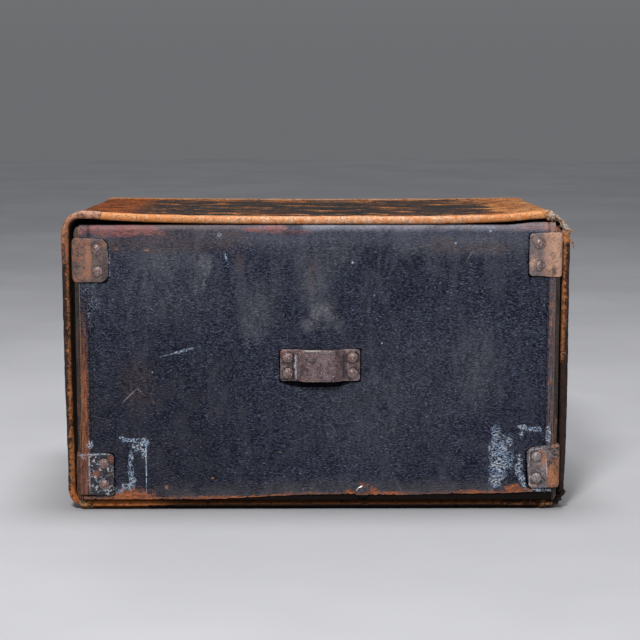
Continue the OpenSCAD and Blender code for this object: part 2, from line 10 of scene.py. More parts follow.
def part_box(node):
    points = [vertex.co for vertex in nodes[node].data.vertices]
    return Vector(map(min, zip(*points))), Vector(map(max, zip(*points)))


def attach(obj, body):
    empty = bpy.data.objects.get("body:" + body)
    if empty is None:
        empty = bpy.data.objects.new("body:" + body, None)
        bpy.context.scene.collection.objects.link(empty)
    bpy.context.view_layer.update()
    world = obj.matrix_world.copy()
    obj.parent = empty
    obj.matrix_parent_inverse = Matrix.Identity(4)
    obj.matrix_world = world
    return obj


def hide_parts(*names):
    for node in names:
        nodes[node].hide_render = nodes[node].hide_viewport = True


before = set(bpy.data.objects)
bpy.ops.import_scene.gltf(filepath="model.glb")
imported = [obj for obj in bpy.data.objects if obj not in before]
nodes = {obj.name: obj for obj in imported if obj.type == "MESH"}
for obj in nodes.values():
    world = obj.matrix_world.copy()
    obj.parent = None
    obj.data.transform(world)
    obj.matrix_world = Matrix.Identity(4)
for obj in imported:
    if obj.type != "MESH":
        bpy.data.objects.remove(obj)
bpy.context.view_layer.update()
MM = 0.001


# Sizes in millimetres, taken from the frame

def box_mm(node):
    low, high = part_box(node)
    return [1000 * c for c in low], [1000 * c for c in high]


SLEEVE_LOW, SLEEVE_HIGH = box_mm("sleeve_wrap_leather")
CASE_X = SLEEVE_HIGH[0] + 1          # half the width over the binding
CASE_Z = SLEEVE_HIGH[2] + 1          # height over the binding
RIM_Y = SLEEVE_LOW[1] - 2            # front of the rim binding
BACK_Y = SLEEVE_HIGH[1] + 1          # back of the back binding
LINING_LOW, LINING_HIGH = box_mm("sleeve_lining")
OPEN_X = LINING_HIGH[0] - 0.8        # half the clear width inside
FLOOR_Z = LINING_LOW[2] + 0.8
CEILING_Z = LINING_HIGH[2] - 0.8
OUTER_R = 22
INNER_R = 10
TURN_X, TURN_Z = 232, 282            # where the sides end and the round corners begin

PANEL_LOW, PANEL_HIGH = box_mm("tray_front_leather")
FACE_Y = PANEL_LOW[1]
PANEL_TOP = PANEL_HIGH[2]
SKIN = 1.2                           # thickness of the panel's leather
SEAMS = (-226.1, 232.4)
TRAY_X0 = box_mm("tray_left_leather")[0][0]
TRAY_X1 = box_mm("tray_right_leather")[1][0]
STRAP_LOW, STRAP_HIGH = box_mm("pull_strap")
STRAP_X = (STRAP_LOW[0] + STRAP_HIGH[0]) / 2
STRAP_Z = (STRAP_LOW[2] + STRAP_HIGH[2]) / 2
STRAP_PINS = [(dx, dz) for dx in (-32.5, 32.5) for dz in (-8, 8)]    # rivets, from the strap's middle
STUD_X, STUD_Z, STUD_R = 47.1, 19.1, 8

# The brackets: side, length of the front leg and height of the middle
BRACKETS = {"top_left": (-1, 34.5, 255.85), "top_right": (1, 32.5, 261.35),
            "bottom_left": (-1, 37.5, 38.35), "bottom_right": (1, 32.2, 44.85)}
BRACKET_H = 43.5
PLATE = 1.5                          # thickness of the iron
PIN_IN = 11.5                        # from the leg's end to its rivets
PINS = (-11, 11)                     # the rivets' heights from the middle


def in_from(side, distance):
    """The x at a distance in from the tray's left (-1) or right (1) side."""
    return TRAY_X0 + distance if side < 0 else TRAY_X1 - distance


# Geometry

def smooth(t):
    t = np.clip(t, 0, 1)
    return t * t * (3 - 2 * t)


def lump(*place):
    """Smooth noise from -1 to 1 at a place."""
    return noise.noise(Vector(place))


def circle(count):
    """Cosines and sines of angles evenly spaced round a full turn."""
    return [(math.cos(a), math.sin(a)) for a in [2 * math.pi * k / count for k in range(count)]]


def wave(points, size, seed):
    """Smooth noise at points in millimetres, with lumps about size wide."""
    flat = points.reshape(-1, 3) / size + seed * 7.31
    return np.array([lump(*q) for q in flat]).reshape(points.shape[:-1])


def rounded_table(xs, values, width=27):
    """Values against a position, with their corners rounded off."""
    grid = np.arange(xs[0], xs[-1] + 1, 1)
    padded = np.pad(np.interp(grid, xs, values), width // 2, mode="edge")
    return grid, np.convolve(padded, np.ones(width) / width, mode="valid")


# How far the sleeve's top has sunk at its front edge and at its back
FRONT_SAG = rounded_table([-254, -230, -200, -160, -117, -67, -16, 34, 84, 135, 185, 205, 226, 254],
                          [0, -0.3, 2, 3.8, 4.7, 5.4, 5.7, 5.5, 5.7, 5.3, 3.7, 2.1, -0.2, 0])
BACK_SAG = rounded_table([-254, -225, -150, 0, 150, 225, 254], [3, 3.2, 4.2, 5, 4.6, 3.4, 3])
# How far the sides lean in at each height
LEFT_LEAN = rounded_table([0, 45, 155, 257, 304], [1.5, 1.5, -0.4, -0.7, -0.5])
RIGHT_LEAN = rounded_table([0, 26, 45, 85, 304], [1.6, 1.2, 0.2, -0.6, -0.3], 17)
# The height at which the panel's leather ends
HEM = rounded_table([-240, -120, -90, -16, 34, 85, 136, 187, 227, 240],
                    [12, 12, 12.6, 16.5, 17.1, 15.9, 17.4, 17.6, 19.4, 19.4], 21)


def warp(points):
    """Moves points of the sleeve from their true places to where age has left them."""
    p = np.array(points, float)
    x, y, z = p[..., 0], p[..., 1], p[..., 2]
    depth = smooth((y - RIM_Y) / (BACK_Y - RIM_Y))
    sag = np.interp(x, *FRONT_SAG) * (1 - depth) + np.interp(x, *BACK_SAG) * depth
    left = np.interp(z, *LEFT_LEAN) * smooth((-x - 232) / 18)
    right = np.interp(z, *RIGHT_LEAN) * np.clip((x - OPEN_X - 0.8) / 6.5, 0, 1)
    # The torn corner is crushed, and the back's top corners have drawn in
    dx, dz = x - (OPEN_X - INNER_R), z - (CEILING_Z - INNER_R)
    outside = np.clip((np.hypot(dx, dz) - INNER_R) / (OUTER_R - INNER_R), 0, 1) * (dx > 0) * (dz > 0)
    turn = np.arctan2(np.maximum(z - 276, 1e-6), np.maximum(x - 226, 1e-6))
    crushed = 5 * outside * smooth((RIM_Y + 90 - y) / 80) * np.sin(2 * turn) ** 2
    drawn = 3 * smooth((y - 20) / 130) * smooth((np.abs(x) - 236) / 12) * smooth((z - 150) / 140)
    p[..., 2] = z - sag * smooth((z - 200) / 90) - 0.8 * crushed
    p[..., 0] = x + (left - right) * (1 - 0.6 * depth) - crushed - np.sign(x) * drawn
    p[..., 2] = np.where(z < 30, np.maximum(z, 0), z)
    return p


def linked(name, data):
    obj = bpy.data.objects.new(name, data)
    bpy.context.scene.collection.objects.link(obj)
    return obj


def new_piece(mesh, bm, finish, body, stands_for, sharp):
    """Fills the mesh from bm and makes it a piece with its material and body."""
    bm.to_mesh(mesh)
    bm.free()
    mesh.shade_smooth()
    mesh.set_sharp_from_angle(angle=math.radians(sharp))
    mesh.materials.append(finish.mat)
    obj = linked(mesh.name, mesh)
    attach(obj, body)
    if stands_for:
        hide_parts(stands_for)
    return obj


class Build:
    """Collects vertices and faces of one piece from several solids."""

    def __init__(self):
        self.verts = []
        self.faces = []

    def add(self, verts, faces):
        base = len(self.verts)
        self.verts.extend(np.asarray(verts, float).reshape(-1, 3).tolist())
        self.faces.extend(tuple(base + i for i in f) for f in faces)
        return self

    def loft(self, rings):
        """Joins closed rings of equal length into a tube with closed ends."""
        n, m = np.shape(rings)[:2]
        faces = [range(m), range((n - 1) * m, n * m)]
        for row in range(0, (n - 1) * m, m):
            for j, h in zip(range(m), [*range(1, m), 0]):
                faces.append((row + j, row + h, row + m + h, row + m + j))
        return self.add(rings, faces)

    def shell(self, outer, inner):
        """A sheet with thickness, from two grids of the same size."""
        n, m = np.shape(outer)[:2]
        size = n * m
        faces = []
        for row in range(0, size - m, m):
            for a in range(row, row + m - 1):
                q = (a, a + 1, a + m + 1, a + m)
                faces += [q, [size + k for k in reversed(q)]]
        loop = [*range(m), *range(2 * m - 1, size, m), *range(size - 2, size - m - 1, -1),
                *range(size - 2 * m, 0, -m)]
        faces += [(a, b, size + b, size + a) for a, b in zip(loop, loop[1:] + loop[:1])]
        return self.add([outer, inner], faces)

    def lathe(self, profile, place, around=24):
        """Turns (radius, height) pairs; place maps (u, v, height) to a point."""
        return self.loft([[place(r * c, r * s, h) for c, s in circle(around)] for r, h in profile])

    def strand(self, points, radius, sides=5):
        """A thin tapering fibre through points of the sleeve."""
        points = [Vector(p) for p in warp(points)]
        last = len(points) - 1
        rings = []
        for i, p in enumerate(points):
            d = points[min(i + 1, last)] - points[max(i - 1, 0)]
            u = d.cross(Vector((0.31, 0.17, 0.93))).normalized()
            v = d.cross(u).normalized()
            r = radius * (1 - 0.75 * i / last)
            rings.append([p + r * (u * c + v * s) for c, s in circle(sides)])
        self.loft(rings)

    def piece(self, name, finish, body, stands_for, sharp=40):
        mesh = bpy.data.meshes.new(name)
        mesh.from_pydata((np.array(self.verts) * MM).tolist(), [], self.faces)
        bm = bmesh.new()
        bm.from_mesh(mesh)
        bmesh.ops.remove_doubles(bm, verts=bm.verts, dist=1e-7)
        bmesh.ops.recalc_face_normals(bm, faces=bm.faces)
        return new_piece(mesh, bm, finish, body, stands_for, sharp)


# Stations round the sleeve's edge: the outer corner line, the inner corner line and the
# outward direction, each in x and z

def straight(side, start, end, step=3):
    """Stations along one side, evenly spaced in x or in z."""
    line = []
    for c in np.linspace(start, end, max(2, int(abs(end - start) / step) + 1)):
        if side in ("top", "bottom"):
            up = side == "top"
            inner = np.interp(c, [-TURN_X, -200, 200, TURN_X],
                              [-OPEN_X + INNER_R, -200, 200, OPEN_X - INNER_R])
            station = (c, CASE_Z if up else 0), (inner, CEILING_Z if up else FLOOR_Z), (0, 1 if up else -1)
        else:
            s = -1 if side == "left" else 1
            inner = np.interp(c, [OUTER_R, 60, 244, TURN_Z],
                              [FLOOR_Z + INNER_R, 60, 244, CEILING_Z - INNER_R])
            station = (s * CASE_X, c), (s * OPEN_X, inner), (s, 0)
        line.append(np.array(station, float))
    return line


def corner(start, end, count=10):
    """Stations round a corner, between angles in degrees from the +x direction."""
    middle = math.radians((start + end) / 2)
    s = math.copysign(1, math.cos(middle))
    top = math.sin(middle) > 0
    outer = np.array([s * (CASE_X - OUTER_R), CASE_Z - OUTER_R if top else OUTER_R])
    inner = np.array([s * (OPEN_X - INNER_R), CEILING_Z - INNER_R if top else FLOOR_Z + INNER_R])
    line = []
    for a in np.radians(np.linspace(start, end, count)):
        n = np.array([math.cos(a), math.sin(a)])
        line.append(np.array([outer + OUTER_R * n, inner + INNER_R * n, n]))
    return line


def joined(first, *others):
    """Runs of stations end to end, without the doubled ones between them."""
    line = list(first)
    for run in others:
        line += run[1:]
    return line


# Materials

def put(socket, value):
    """Links a field to a socket, or sets the socket to a number, a place or a colour."""
    if isinstance(value, Field):
        value.tree.links.new(value.socket, socket)
    else:
        socket.default_value = (*value, 1) if socket.type == "RGBA" else value


def field(tree, kind, inputs, output=0, **settings):
    """What a new shader node gives out."""
    node = tree.nodes.new("ShaderNode" + kind)
    for name, value in settings.items():
        setattr(node, name, value)
    for name, value in inputs.items():
        put(node.inputs[name], value)
    return Field(tree, node.outputs[output])


def most(first, *others):
    """The largest of several fields."""
    for other in others:
        first = first.math("MAXIMUM", other)
    return first


def tint(colour, factor, plus=0):
    return tuple(min(1, factor * c + plus) for c in colour)


class Field:
    """A value that varies over a material. Arithmetic with it adds shader nodes."""

    def __init__(self, tree, socket):
        self.tree = tree
        self.socket = socket

    def math(self, kind, *others):
        return field(self.tree, "Math", dict(enumerate((self, *others))), operation=kind)

    def __add__(self, other):
        return self.math("ADD", other)

    def __mul__(self, other):
        return self.math("MULTIPLY", other)

    def __sub__(self, other):
        return self.math("SUBTRACT", other)

    def __rsub__(self, other):
        return field(self.tree, "Math", {0: other, 1: self}, operation="SUBTRACT")

    def __abs__(self):
        return self.math("ABSOLUTE")

    def fade(self, low, high, a=0, b=1):
        """Smoothly from a where this is low to b where it is high."""
        ends = {"Value": self, "From Min": low, "From Max": high, "To Min": a, "To Max": b}
        return field(self.tree, "MapRange", ends, "Result", interpolation_type="SMOOTHSTEP")

    def sway(self, reach, low=0.2):
        """Noise turned into an offset from -reach to reach."""
        return self.fade(low, 1 - low, -reach, reach)

    def slab(self, low, high, soft):
        """1 where this lies between low and high."""
        return self.fade(low - soft, low + soft) * self.fade(high - soft, high + soft, 1, 0)

    def mix(self, low, high, blend="MIX"):
        """The colour low where this is 0 and high where it is 1."""
        return field(self.tree, "Mix", {0: self, 6: low, 7: high}, 2, data_type="RGBA", blend_type=blend)

    def lerp(self, low, high):
        """The number low where this is 0 and high where it is 1."""
        return field(self.tree, "Mix", {0: self, 2: low, 3: high}, data_type="FLOAT")


EDGES = "DISTANCE_TO_EDGE"


class Finish:
    """A procedural material whose patterns are placed in frame millimetres."""

    def __init__(self, name, slot=None, metallic=0, specular=0.5, sheen=0):
        self.slot = slot or name
        self.mat = bpy.data.materials.new(name)
        self.mat.use_nodes = True
        self.tree = self.mat.node_tree
        self.bsdf = self.tree.nodes["Principled BSDF"].inputs
        for key, value in (("Metallic", metallic), ("Specular IOR Level", specular),
                           ("Sheen Weight", sheen), ("Sheen Roughness", 0.4)):
            put(self.bsdf[key], value)
        place = field(self.tree, "TexCoord", {}, "Object")
        self.p = field(self.tree, "VectorMath", {0: place, "Scale": 1 / MM}, operation="SCALE")
        self.x, self.y, self.z = [field(self.tree, "SeparateXYZ", {0: self.p}, axis) for axis in "XYZ"]

    def place(self, scale, shift, turn=0, source=None):
        return field(self.tree, "Mapping", {"Scale": scale, "Location": shift, "Rotation": (0, turn, 0),
                                            "Vector": source or self.p})

    def pushed(self, place, source, scale, reach):
        """A place pushed about by noise, to bend the pattern drawn with it."""
        drift = field(self.tree, "TexNoise", {"Vector": source, "Scale": scale, "Detail": 2}, "Color")
        inputs = {0: drift, 1: (reach,) * 3, 2: place}
        return field(self.tree, "VectorMath", inputs, operation="MULTIPLY_ADD")

    def noise(self, size, detail=3, rough=0.55, twist=0, stretch=(1, 1, 1), seed=0, turn=0,
              source=None):
        """Noise from 0 to 1 with features about size millimetres wide."""
        scale = tuple(1 / (size * s) for s in stretch)
        place = self.place(scale, (seed * 3.7, seed * 1.9, seed * 5.3), turn, source)
        inputs = {"Vector": place, "Scale": 1, "Detail": detail, "Roughness": rough, "Distortion": twist}
        return field(self.tree, "TexNoise", inputs, "Fac")

    def cells(self, size, feature="F1", stretch=(1, 1, 1), seed=0, bend=0, source=None):
        """Distances in a pattern of cells about size millimetres wide, bent by bend of a cell."""
        scale = tuple(1 / (size * s) for s in stretch)
        place = self.place(scale, (seed * 2.3, seed * 4.1, seed * 1.3), source=source)
        if bend:
            place = self.pushed(place, place, 0.6, 4 * bend)
        return field(self.tree, "TexVoronoi", {"Vector": place, "Scale": 1}, "Distance", feature=feature)

    def rounded_box(self, x0, x1, z0, z1, radius, soft, wobble):
        """1 inside a box with round corners, seen from the front."""
        dx = most(abs(self.x - (x0 + x1) / 2) - ((x1 - x0) / 2 - radius), 0)
        dz = most(abs(self.z - (z0 + z1) / 2) - ((z1 - z0) / 2 - radius), 0)
        far = (dx * dx + dz * dz).math("SQRT")
        return (far + wobble).fade(radius + soft, radius - soft)

    def spot(self, cx, cz, rx, rz, edge=0.5, wobble=None, turn=0):
        """1 inside an ellipse seen from the front, fading out at its edge."""
        place = field(self.tree, "VectorMath", {0: self.p, 1: (-cx, 0, -cz)}, operation="ADD")
        place = self.place((1, 1, 1), (0, 0, 0), turn, place)
        place = field(self.tree, "VectorMath", {0: place, 1: (1 / rx, 0, 1 / rz)}, operation="MULTIPLY")
        distance = field(self.tree, "VectorMath", {0: place}, "Value", operation="LENGTH")
        if wobble:
            distance = distance + wobble
        return distance.fade(1 - edge, 1 + edge, 1, 0)

    def spots(self, table, wobble=None):
        """The strongest of several spots: x, z, half width, half height, edge, strength and turn."""
        return most(*[self.spot(x, z, rx, rz, edge, wobble, *turn) * strength
                      for x, z, rx, rz, edge, strength, *turn in table])

    def hairs(self, size, seed, turns, low, high):
        """Long thin scratches in several directions."""
        return most(*[self.noise(size, 2, 0.5, 0.2, (1, 1, 0.055), seed + k, turn).fade(low, high)
                      for k, turn in enumerate(turns)])

    def paint(self, mask, tone):
        """Covers the colour with a tone where mask is 1."""
        self.colour = mask.mix(self.colour, tone)

    def darken(self, mask, factor):
        """Multiplies the colour by factor where mask is 1."""
        self.colour = mask.mix(self.colour, (factor,) * 3, "MULTIPLY")

    def done(self, rough, height):
        """Sets the colour, the roughness, and the relief in millimetres."""
        bump = field(self.tree, "Bump", {"Strength": 1, "Distance": MM, "Height": height}, "Normal")
        for key, value in (("Base Color", self.colour), ("Roughness", rough), ("Normal", bump)):
            put(self.bsdf[key], value)
        return self


# Edges of what is fixed to the panel, round which shade is painted dark: x from and to, z from and to, and
# the radius of the corners
FITTING_SHADE_BOXES = ((-250, -206.9, 232.8, 277, 6), (211.6, 252, 238.4, 282.6, 4), (-250, -203.8, 15.2, 59.6, 3),
         (212.2, 252, 22, 65, 6), (-37.4, -22, 132.2, 166.6, 2), (30, 45.4, 132, 166.6, 2))

# Marks on the panel: x, z, half width, half height, softness of the edge, strength and turn
SCUFFS = ((-1, 238, 15, 26, 0.7, 0.55), (6, 203, 11, 13, 0.6, 0.95), (-9, 190, 7, 6, 0.6, 0.7),
          (4, 262, 28, 16, 0.8, 0.35), (-111, 252, 7, 14, 0.6, 0.75), (-121, 226, 2.6, 8, 0.5, 0.9),
          (-112.5, 230, 1.8, 8, 0.5, 0.8), (-60, 205, 16, 26, 0.7, 0.42), (-70, 190, 5, 16, 0.6, 0.5),
          (22, 193, 6, 8, 0.5, 0.5), (-20, 275, 90, 7, 0.8, 0.35), (150, 271, 62, 11, 0.7, 0.55),
          (160, 150, 24, 40, 0.8, 0.35), (60, 120, 70, 60, 0.8, 0.22), (-150, 258, 40, 14, 0.8, 0.5),
          (-150, 220, 50, 26, 0.9, 0.25))
BROWN_STAINS = ((-84, 281, 11, 5, 0.5, 0.9), (-78, 254, 4, 20, 0.6, 0.5), (-3, 246, 3.5, 14, 0.6, 0.6),
                (-150, 272, 62, 8, 0.6, 0.7), (-180, 130, 14, 26, 0.6, 0.4), (128, 272, 14, 8, 0.6, 0.8),
                (160, 268, 30, 8, 0.7, 0.5))
RED_STREAKS = ((-49, 286.5, 19, 3.6, 0.25, 0.9), (-20, 284, 14, 2.5, 0.5, 0.45))
HEM_WEAR = ((34.5, 19.5, 5, 2.6, 0.3, 0.9), (58, 19.5, 5, 4.5, 0.3, 1), (75, 17.5, 12, 2, 0.3, 0.8),
            (47, 26.8, 4, 1.6, 0.4, 0.8), (-70, 13.5, 60, 1.8, 0.4, 0.8), (160, 18.6, 24, 2, 0.4, 0.7))
TAN_NICKS = ((-169, 266, 2, 1.4, 0.5, 1), (-200, 267, 2, 1.8, 0.6, 0.4),
             (-36.8, 60.6, 1.3, 0.8, 0.5, 1), (-164, 112, 1.2, 1.3, 0.5, 0.5),
             (-152, 24.5, 1.8, 1.5, 0.5, 0.9), (-105, 34, 1.5, 1, 0.5, 0.7))
CHALK_COLUMN = ((181.5, 80, 5.5, 9, 0.3, 0.9), (184, 64, 9, 13, 0.3, 0.95), (190.5, 55, 8.5, 14, 0.3, 1),
                (184, 44, 8.5, 12, 0.3, 0.95), (180.5, 30, 6.5, 8.5, 0.3, 1), (195.5, 70, 4, 7, 0.5, 0.7))
CHALK_MARKS = ((-178, 68.5, 8, 5, 0.3, 1), (-174.8, 64, 3, 9, 0.3, 1), (-187, 73.5, 8, 2.4, 0.4, 1),
               (-197, 75.5, 2.6, 1.5, 0.4, 1), (-188, 44, 2.8, 19, 0.4, 0.8), (-181, 66, 6, 6, 0.5, 0.6),
               (-193, 25.5, 6, 3.4, 0.4, 1), (-202, 21.5, 6, 2.4, 0.4, 0.9), (-187, 30, 3.5, 7, 0.4, 0.8),
               (209, 86, 5, 2.6, 0.4, 1), (220, 83.5, 8, 2.6, 0.4, 0.95), (208, 78, 2.4, 7, 0.5, 0.6),
               (235, 78, 2.2, 11, 0.4, 0.9), (206, 46, 4, 10, 0.5, 0.7),
               (208.2, 33.5, 3.2, 12, 0.4, 1, 0.42), (227, 20.6, 11, 1.8, 0.4, 1),
               (-229, 69, 3.4, 4.5, 0.5, 0.9))
CHALK_SPECKS = ((-226.5, 205, 2.4, 14, 0.5, 0.75), (-206.4, 251, 1, 17, 0.5, 0.75),
                (-221, 212, 5, 4, 0.6, 0.5), (-227, 226, 6, 8, 0.6, 0.4))
HATCHED_FLECKS = ((-89.8, 257.8, 0.95, 4.6, 0.4, 1, 0.3), (-133, 164.7, 9.5, 1.1, 0.6, 0.9, 0.28),
                  (-148, 160.6, 8, 0.7, 0.7, 0.4, 0.22), (-96, 281, 2.2, 2.2, 0.4, 0.4))
FLECKS = ((174, 285, 1, 0.7, 0.5, 0.9), (36.3, 253.4, 1, 1, 0.5, 0.7), (57.8, 220, 1, 1, 0.6, 0.35),
          (139, 273, 1.2, 0.8, 0.5, 0.8), (-164.7, 142.8, 0.9, 0.9, 0.5, 0.6),
          (66, 172, 0.9, 0.9, 0.5, 0.7))
SCRATCHES = ((153.5, 260, 6.4, 0.8, 0.5, 0.7, 1.05), (155.4, 264, 2.6, 0.9, 0.5, 0.6, 0.4),
             (-187.5, 119.5, 10, 0.75, 0.5, 1, 0.78), (-178.5, 124.5, 3, 0.75, 0.5, 1, -0.8),
             (14, 268, 10, 0.55, 0.5, 0.5, 0.1), (104, 269, 14, 0.6, 0.6, 0.5, 0.2),
             (178, 268, 11, 0.6, 0.6, 0.45, 0.65), (83, 27, 8, 0.6, 0.5, 0.5, -1.1))


def panel_finish():
    f = Finish("panel_leather")
    put(f.bsdf["Specular Tint"], (0.7, 0.8, 1))
    x, z = f.x, f.z
    bent = f.pushed(f.p, f.place((1 / 22,) * 3, (90,) * 3), 1, 9)
    broad = f.noise(95, 3, 0.6, seed=1)
    mid = f.noise(17, 4, 0.65, seed=2)
    fine = f.noise(1.3, 3, 0.7, seed=3)
    tones = broad.fade(0.35, 0.68)
    dome = f.cells(1.7, stretch=(1.5, 1, 0.9), seed=4, source=bent).fade(0.05, 0.75, 1, 0)
    lines = f.noise(1.4, 2, 0.6, 0.5, (2, 1, 0.85), 5, source=bent)
    raised = lines.fade(0.46, 0.57)
    grainy = raised.fade(0, 1, 0.6, 1)
    # Painted shade in the grain's valleys and painted highlight on its ridges
    valley = tones.mix((0.0008, 0.0012, 0.006), (0.0024, 0.0032, 0.011))
    f.colour = raised.mix(valley, tones.mix((0.0305, 0.0335, 0.06), (0.05, 0.054, 0.088)))
    f.paint(mid.fade(0.44, 0.74, 0, 0.45), (0.036, 0.039, 0.058))
    fog = f.noise(20, 4, 0.65, 0.8, (0.7, 1, 2.4), 30)
    f.paint(fog.fade(0.46, 0.72, 0, 0.5), (0.056, 0.058, 0.077))
    f.paint(f.noise(34, 4, 0.7, 0.6, seed=20).fade(0.54, 0.72, 0, 0.35), (0.04, 0.043, 0.062))
    # Painted glints on the grain's raised tops
    glint = dome.fade(0.35, 0.85) * lines.fade(0.52, 0.64)
    glint = glint * f.noise(26, 4, 0.65, seed=14).fade(0.36, 0.66, 0.35, 1)
    f.paint(glint * 0.8, (0.19, 0.208, 0.275))
    f.paint(f.noise(7, 5, 0.75, 0.5, seed=6).fade(0.62, 0.76, 0, 0.3), (0.06, 0.038, 0.03))
    # Grey scuffs where the surface is rubbed, strongest on the raised grain
    wobble = mid.sway(0.5)
    tiny = f.noise(2.4, 4, 0.75, seed=15).sway(0.8, 0.25)
    smears = f.noise(6, 5, 0.75, 0.4, (0.8, 1, 2.2), 7).fade(0.24, 0.62)
    rub = f.spots(SCUFFS, wobble) * smears * grainy
    f.paint(rub, (0.165, 0.165, 0.185))
    shadow = x.fade(-40, -130) * z.fade(190, 120) * broad.fade(0.3, 0.6, 0.6, 1)
    f.darken(shadow * 0.75, 0.6)
    f.paint(shadow * mid.fade(0.4, 0.65) * 0.3, (0.04, 0.03, 0.028))
    f.paint(z.fade(196, 250) * fog.fade(0.42, 0.62, 0, 0.3) * grainy, (0.092, 0.094, 0.117))
    brown = f.spots(BROWN_STAINS, wobble) * f.noise(5, 5, 0.8, seed=21).fade(0.38, 0.62)
    f.paint(brown * 0.8, (0.105, 0.062, 0.045))
    # Worn band over the rounded top edge, also lightened there as a painted highlight, and along the sides
    streaks = f.noise(7, 5, 0.75, 0.5, (2.4, 1, 0.6), 8)
    drop = mid.sway(4)
    lip_wear_and_sheen = (z + drop).fade(262, 288) * f.noise(44, 3, 0.6, seed=28).fade(0.36, 0.6, 0.55, 1)
    lip_wear_and_sheen = lip_wear_and_sheen * f.spot(-22, 287, 9, 8).fade(0, 1, 1, 0.3)
    band = x.fade(-140, -10).mix((0.098, 0.076, 0.078), (0.09, 0.094, 0.126))
    f.paint(lip_wear_and_sheen * streaks.fade(0.3, 0.6, 0.4, 0.9) * grainy, band)
    # A painted highlight along the crest of the rounded top edge, with a tea-coloured stain to the right
    crest_highlight = z.fade(282.5, 289.5) * fine.fade(0.35, 0.65, 0.3, 1) * x.fade(-30, 0, 0.6, 1)
    crest_highlight_tone = x.fade(-60, 0).mix((0.185, 0.13, 0.12), (0.24, 0.235, 0.27))
    tea = x.fade(20, 60) * f.noise(13, 4, 0.7, seed=31).fade(0.46, 0.6)
    f.paint(crest_highlight * lip_wear_and_sheen * 0.85, (tea * 0.8).mix(crest_highlight_tone, (0.2, 0.135, 0.115)))
    red = most(f.spot(-199, 285.5, 40, 6, 0.3, mid.sway(0.55)), f.spots(RED_STREAKS, wobble))
    broken = f.noise(3.2, 5, 0.8, 0.4, (1.6, 1, 0.8), 22).fade(0.36, 0.56)
    f.paint(red * broken * 0.85, (0.25, 0.085, 0.074))
    bright = red * (streaks * 0.6 + fine * 0.4).fade(0.53, 0.6)
    bright = bright * most(x.fade(-205, -216), f.spot(-180, 282, 12, 5), 0.35)
    f.paint(bright * 0.9, (0.44, 0.15, 0.08))
    f.paint(red * fine.fade(0.56, 0.68) * 0.5, (0.28, 0.19, 0.19))
    f.paint(f.spot(212, 290, 26, 4.2, 0.5, wobble) * streaks.fade(0.38, 0.6) * 0.75, (0.26, 0.15, 0.14))
    ends = (x + drop).fade(222, 231) * z.fade(283, 288) * f.noise(2.6, 4, 0.8, seed=23).fade(0.44, 0.56)
    f.paint(ends * 0.85, (0.44, 0.19, 0.1))
    # Tan where the finish has gone: the left margin, the hem and its corners
    ragged = f.noise(4, 5, 0.78, seed=9).sway(4)
    upright = f.noise(2.2, 4, 0.7, 0.3, (0.6, 1, 8), 16)
    left = (x + ragged * 0.45).fade(-230.6, -229.2, 1, 0) * (z + ragged * 7).fade(120, 225, 1, 0)
    warm = upright.fade(0.36, 0.6).mix((0.06, 0.02, 0.013), (0.32, 0.11, 0.042))
    f.paint(left * f.noise(3, 5, 0.8, seed=24).fade(0.3, 0.5, 0.35, 1), warm)
    right = (x + ragged * 0.3).fade(232.8, 234.2) * upright.fade(0.35, 0.62, 0.15, 1)
    f.paint(right * 0.8, (0.17, 0.13, 0.135))
    f.paint(right * f.noise(6, 4, 0.7, seed=17).fade(0.54, 0.62), (0.4, 0.15, 0.07))
    f.darken(most(x.slab(-228.4, -224.8, 0.6), x.slab(230.9, 233.4, 0.5)) * 0.7, 0.3)
    above = z - x.fade(-90, -10, 12.2, 17.2)
    hem = (above + ragged * 0.8).fade(0.6, 2.6, 1, 0)
    hem = hem * f.noise(4.5, 5, 0.8, 0.5, (2.2, 1, 0.8), 25).fade(0.34, 0.5, 0.1, 1)
    f.paint(hem, x.fade(-60, 120).mix((0.36, 0.12, 0.042), (0.22, 0.1, 0.07)))
    f.paint((above + ragged * 2).fade(2, 22, 0.7, 0) * mid.fade(0.3, 0.7, 0.3, 1), (0.092, 0.082, 0.084))
    shore = f.noise(5, 6, 0.8, seed=18).sway(0.75, 0.25)
    orange = most(f.spot(-187, 14.8, 20, 7.2, 0.15, shore), f.spot(203, 21.5, 11, 4.4, 0.25, shore),
                  f.spots(HEM_WEAR, tiny))
    rust = streaks.fade(0.36, 0.56).mix((0.19, 0.055, 0.026), (0.46, 0.14, 0.048))
    rust = fine.fade(0.56, 0.7, 0, 0.6).mix(rust, (0.58, 0.26, 0.13))
    f.paint(orange * ragged.fade(-2.2, 0.2, 0.15, 1), rust)
    f.paint(f.spots(TAN_NICKS, tiny) * 0.8, (0.4, 0.19, 0.1))
    # Chalky residue: broken ridges near the bottom corners
    ridges = f.noise(1.2, 2, 0.6, 0.3, (1.8, 1, 0.85), 10, source=bent)
    crumbs = f.noise(1.3, 2, 0.7, 0.2, seed=11)
    soft = f.noise(8, 4, 0.7, 0.3, seed=12).sway(0.5)
    column = f.spots(CHALK_COLUMN, soft) * (x + mid.sway(1.2)).fade(173.4, 175) * ridges.fade(0.47, 0.55)
    marks = f.spots(CHALK_MARKS, soft).fade(0.15, 0.7) * crumbs.fade(0.492, 0.525)
    specks = f.spots(CHALK_SPECKS, soft) * crumbs.fade(0.52, 0.62) * 0.8
    line = f.spot(-172.4, 47, 0.62, 27, 0.3) * f.noise(3.5, 4, 0.75, seed=19).fade(0.4, 0.52)
    hatch = f.noise(1.2, 3, 0.7, 0.4, seed=26).fade(0.42, 0.52)
    chalk = most(column, marks, specks, line, f.spots(HATCHED_FLECKS, tiny) * hatch, f.spots(FLECKS, tiny))
    pale = f.noise(9, 3, 0.6, seed=27).fade(0.35, 0.65)
    f.paint(chalk * 0.92, pale.mix((0.27, 0.38, 0.56), (0.6, 0.66, 0.74)))
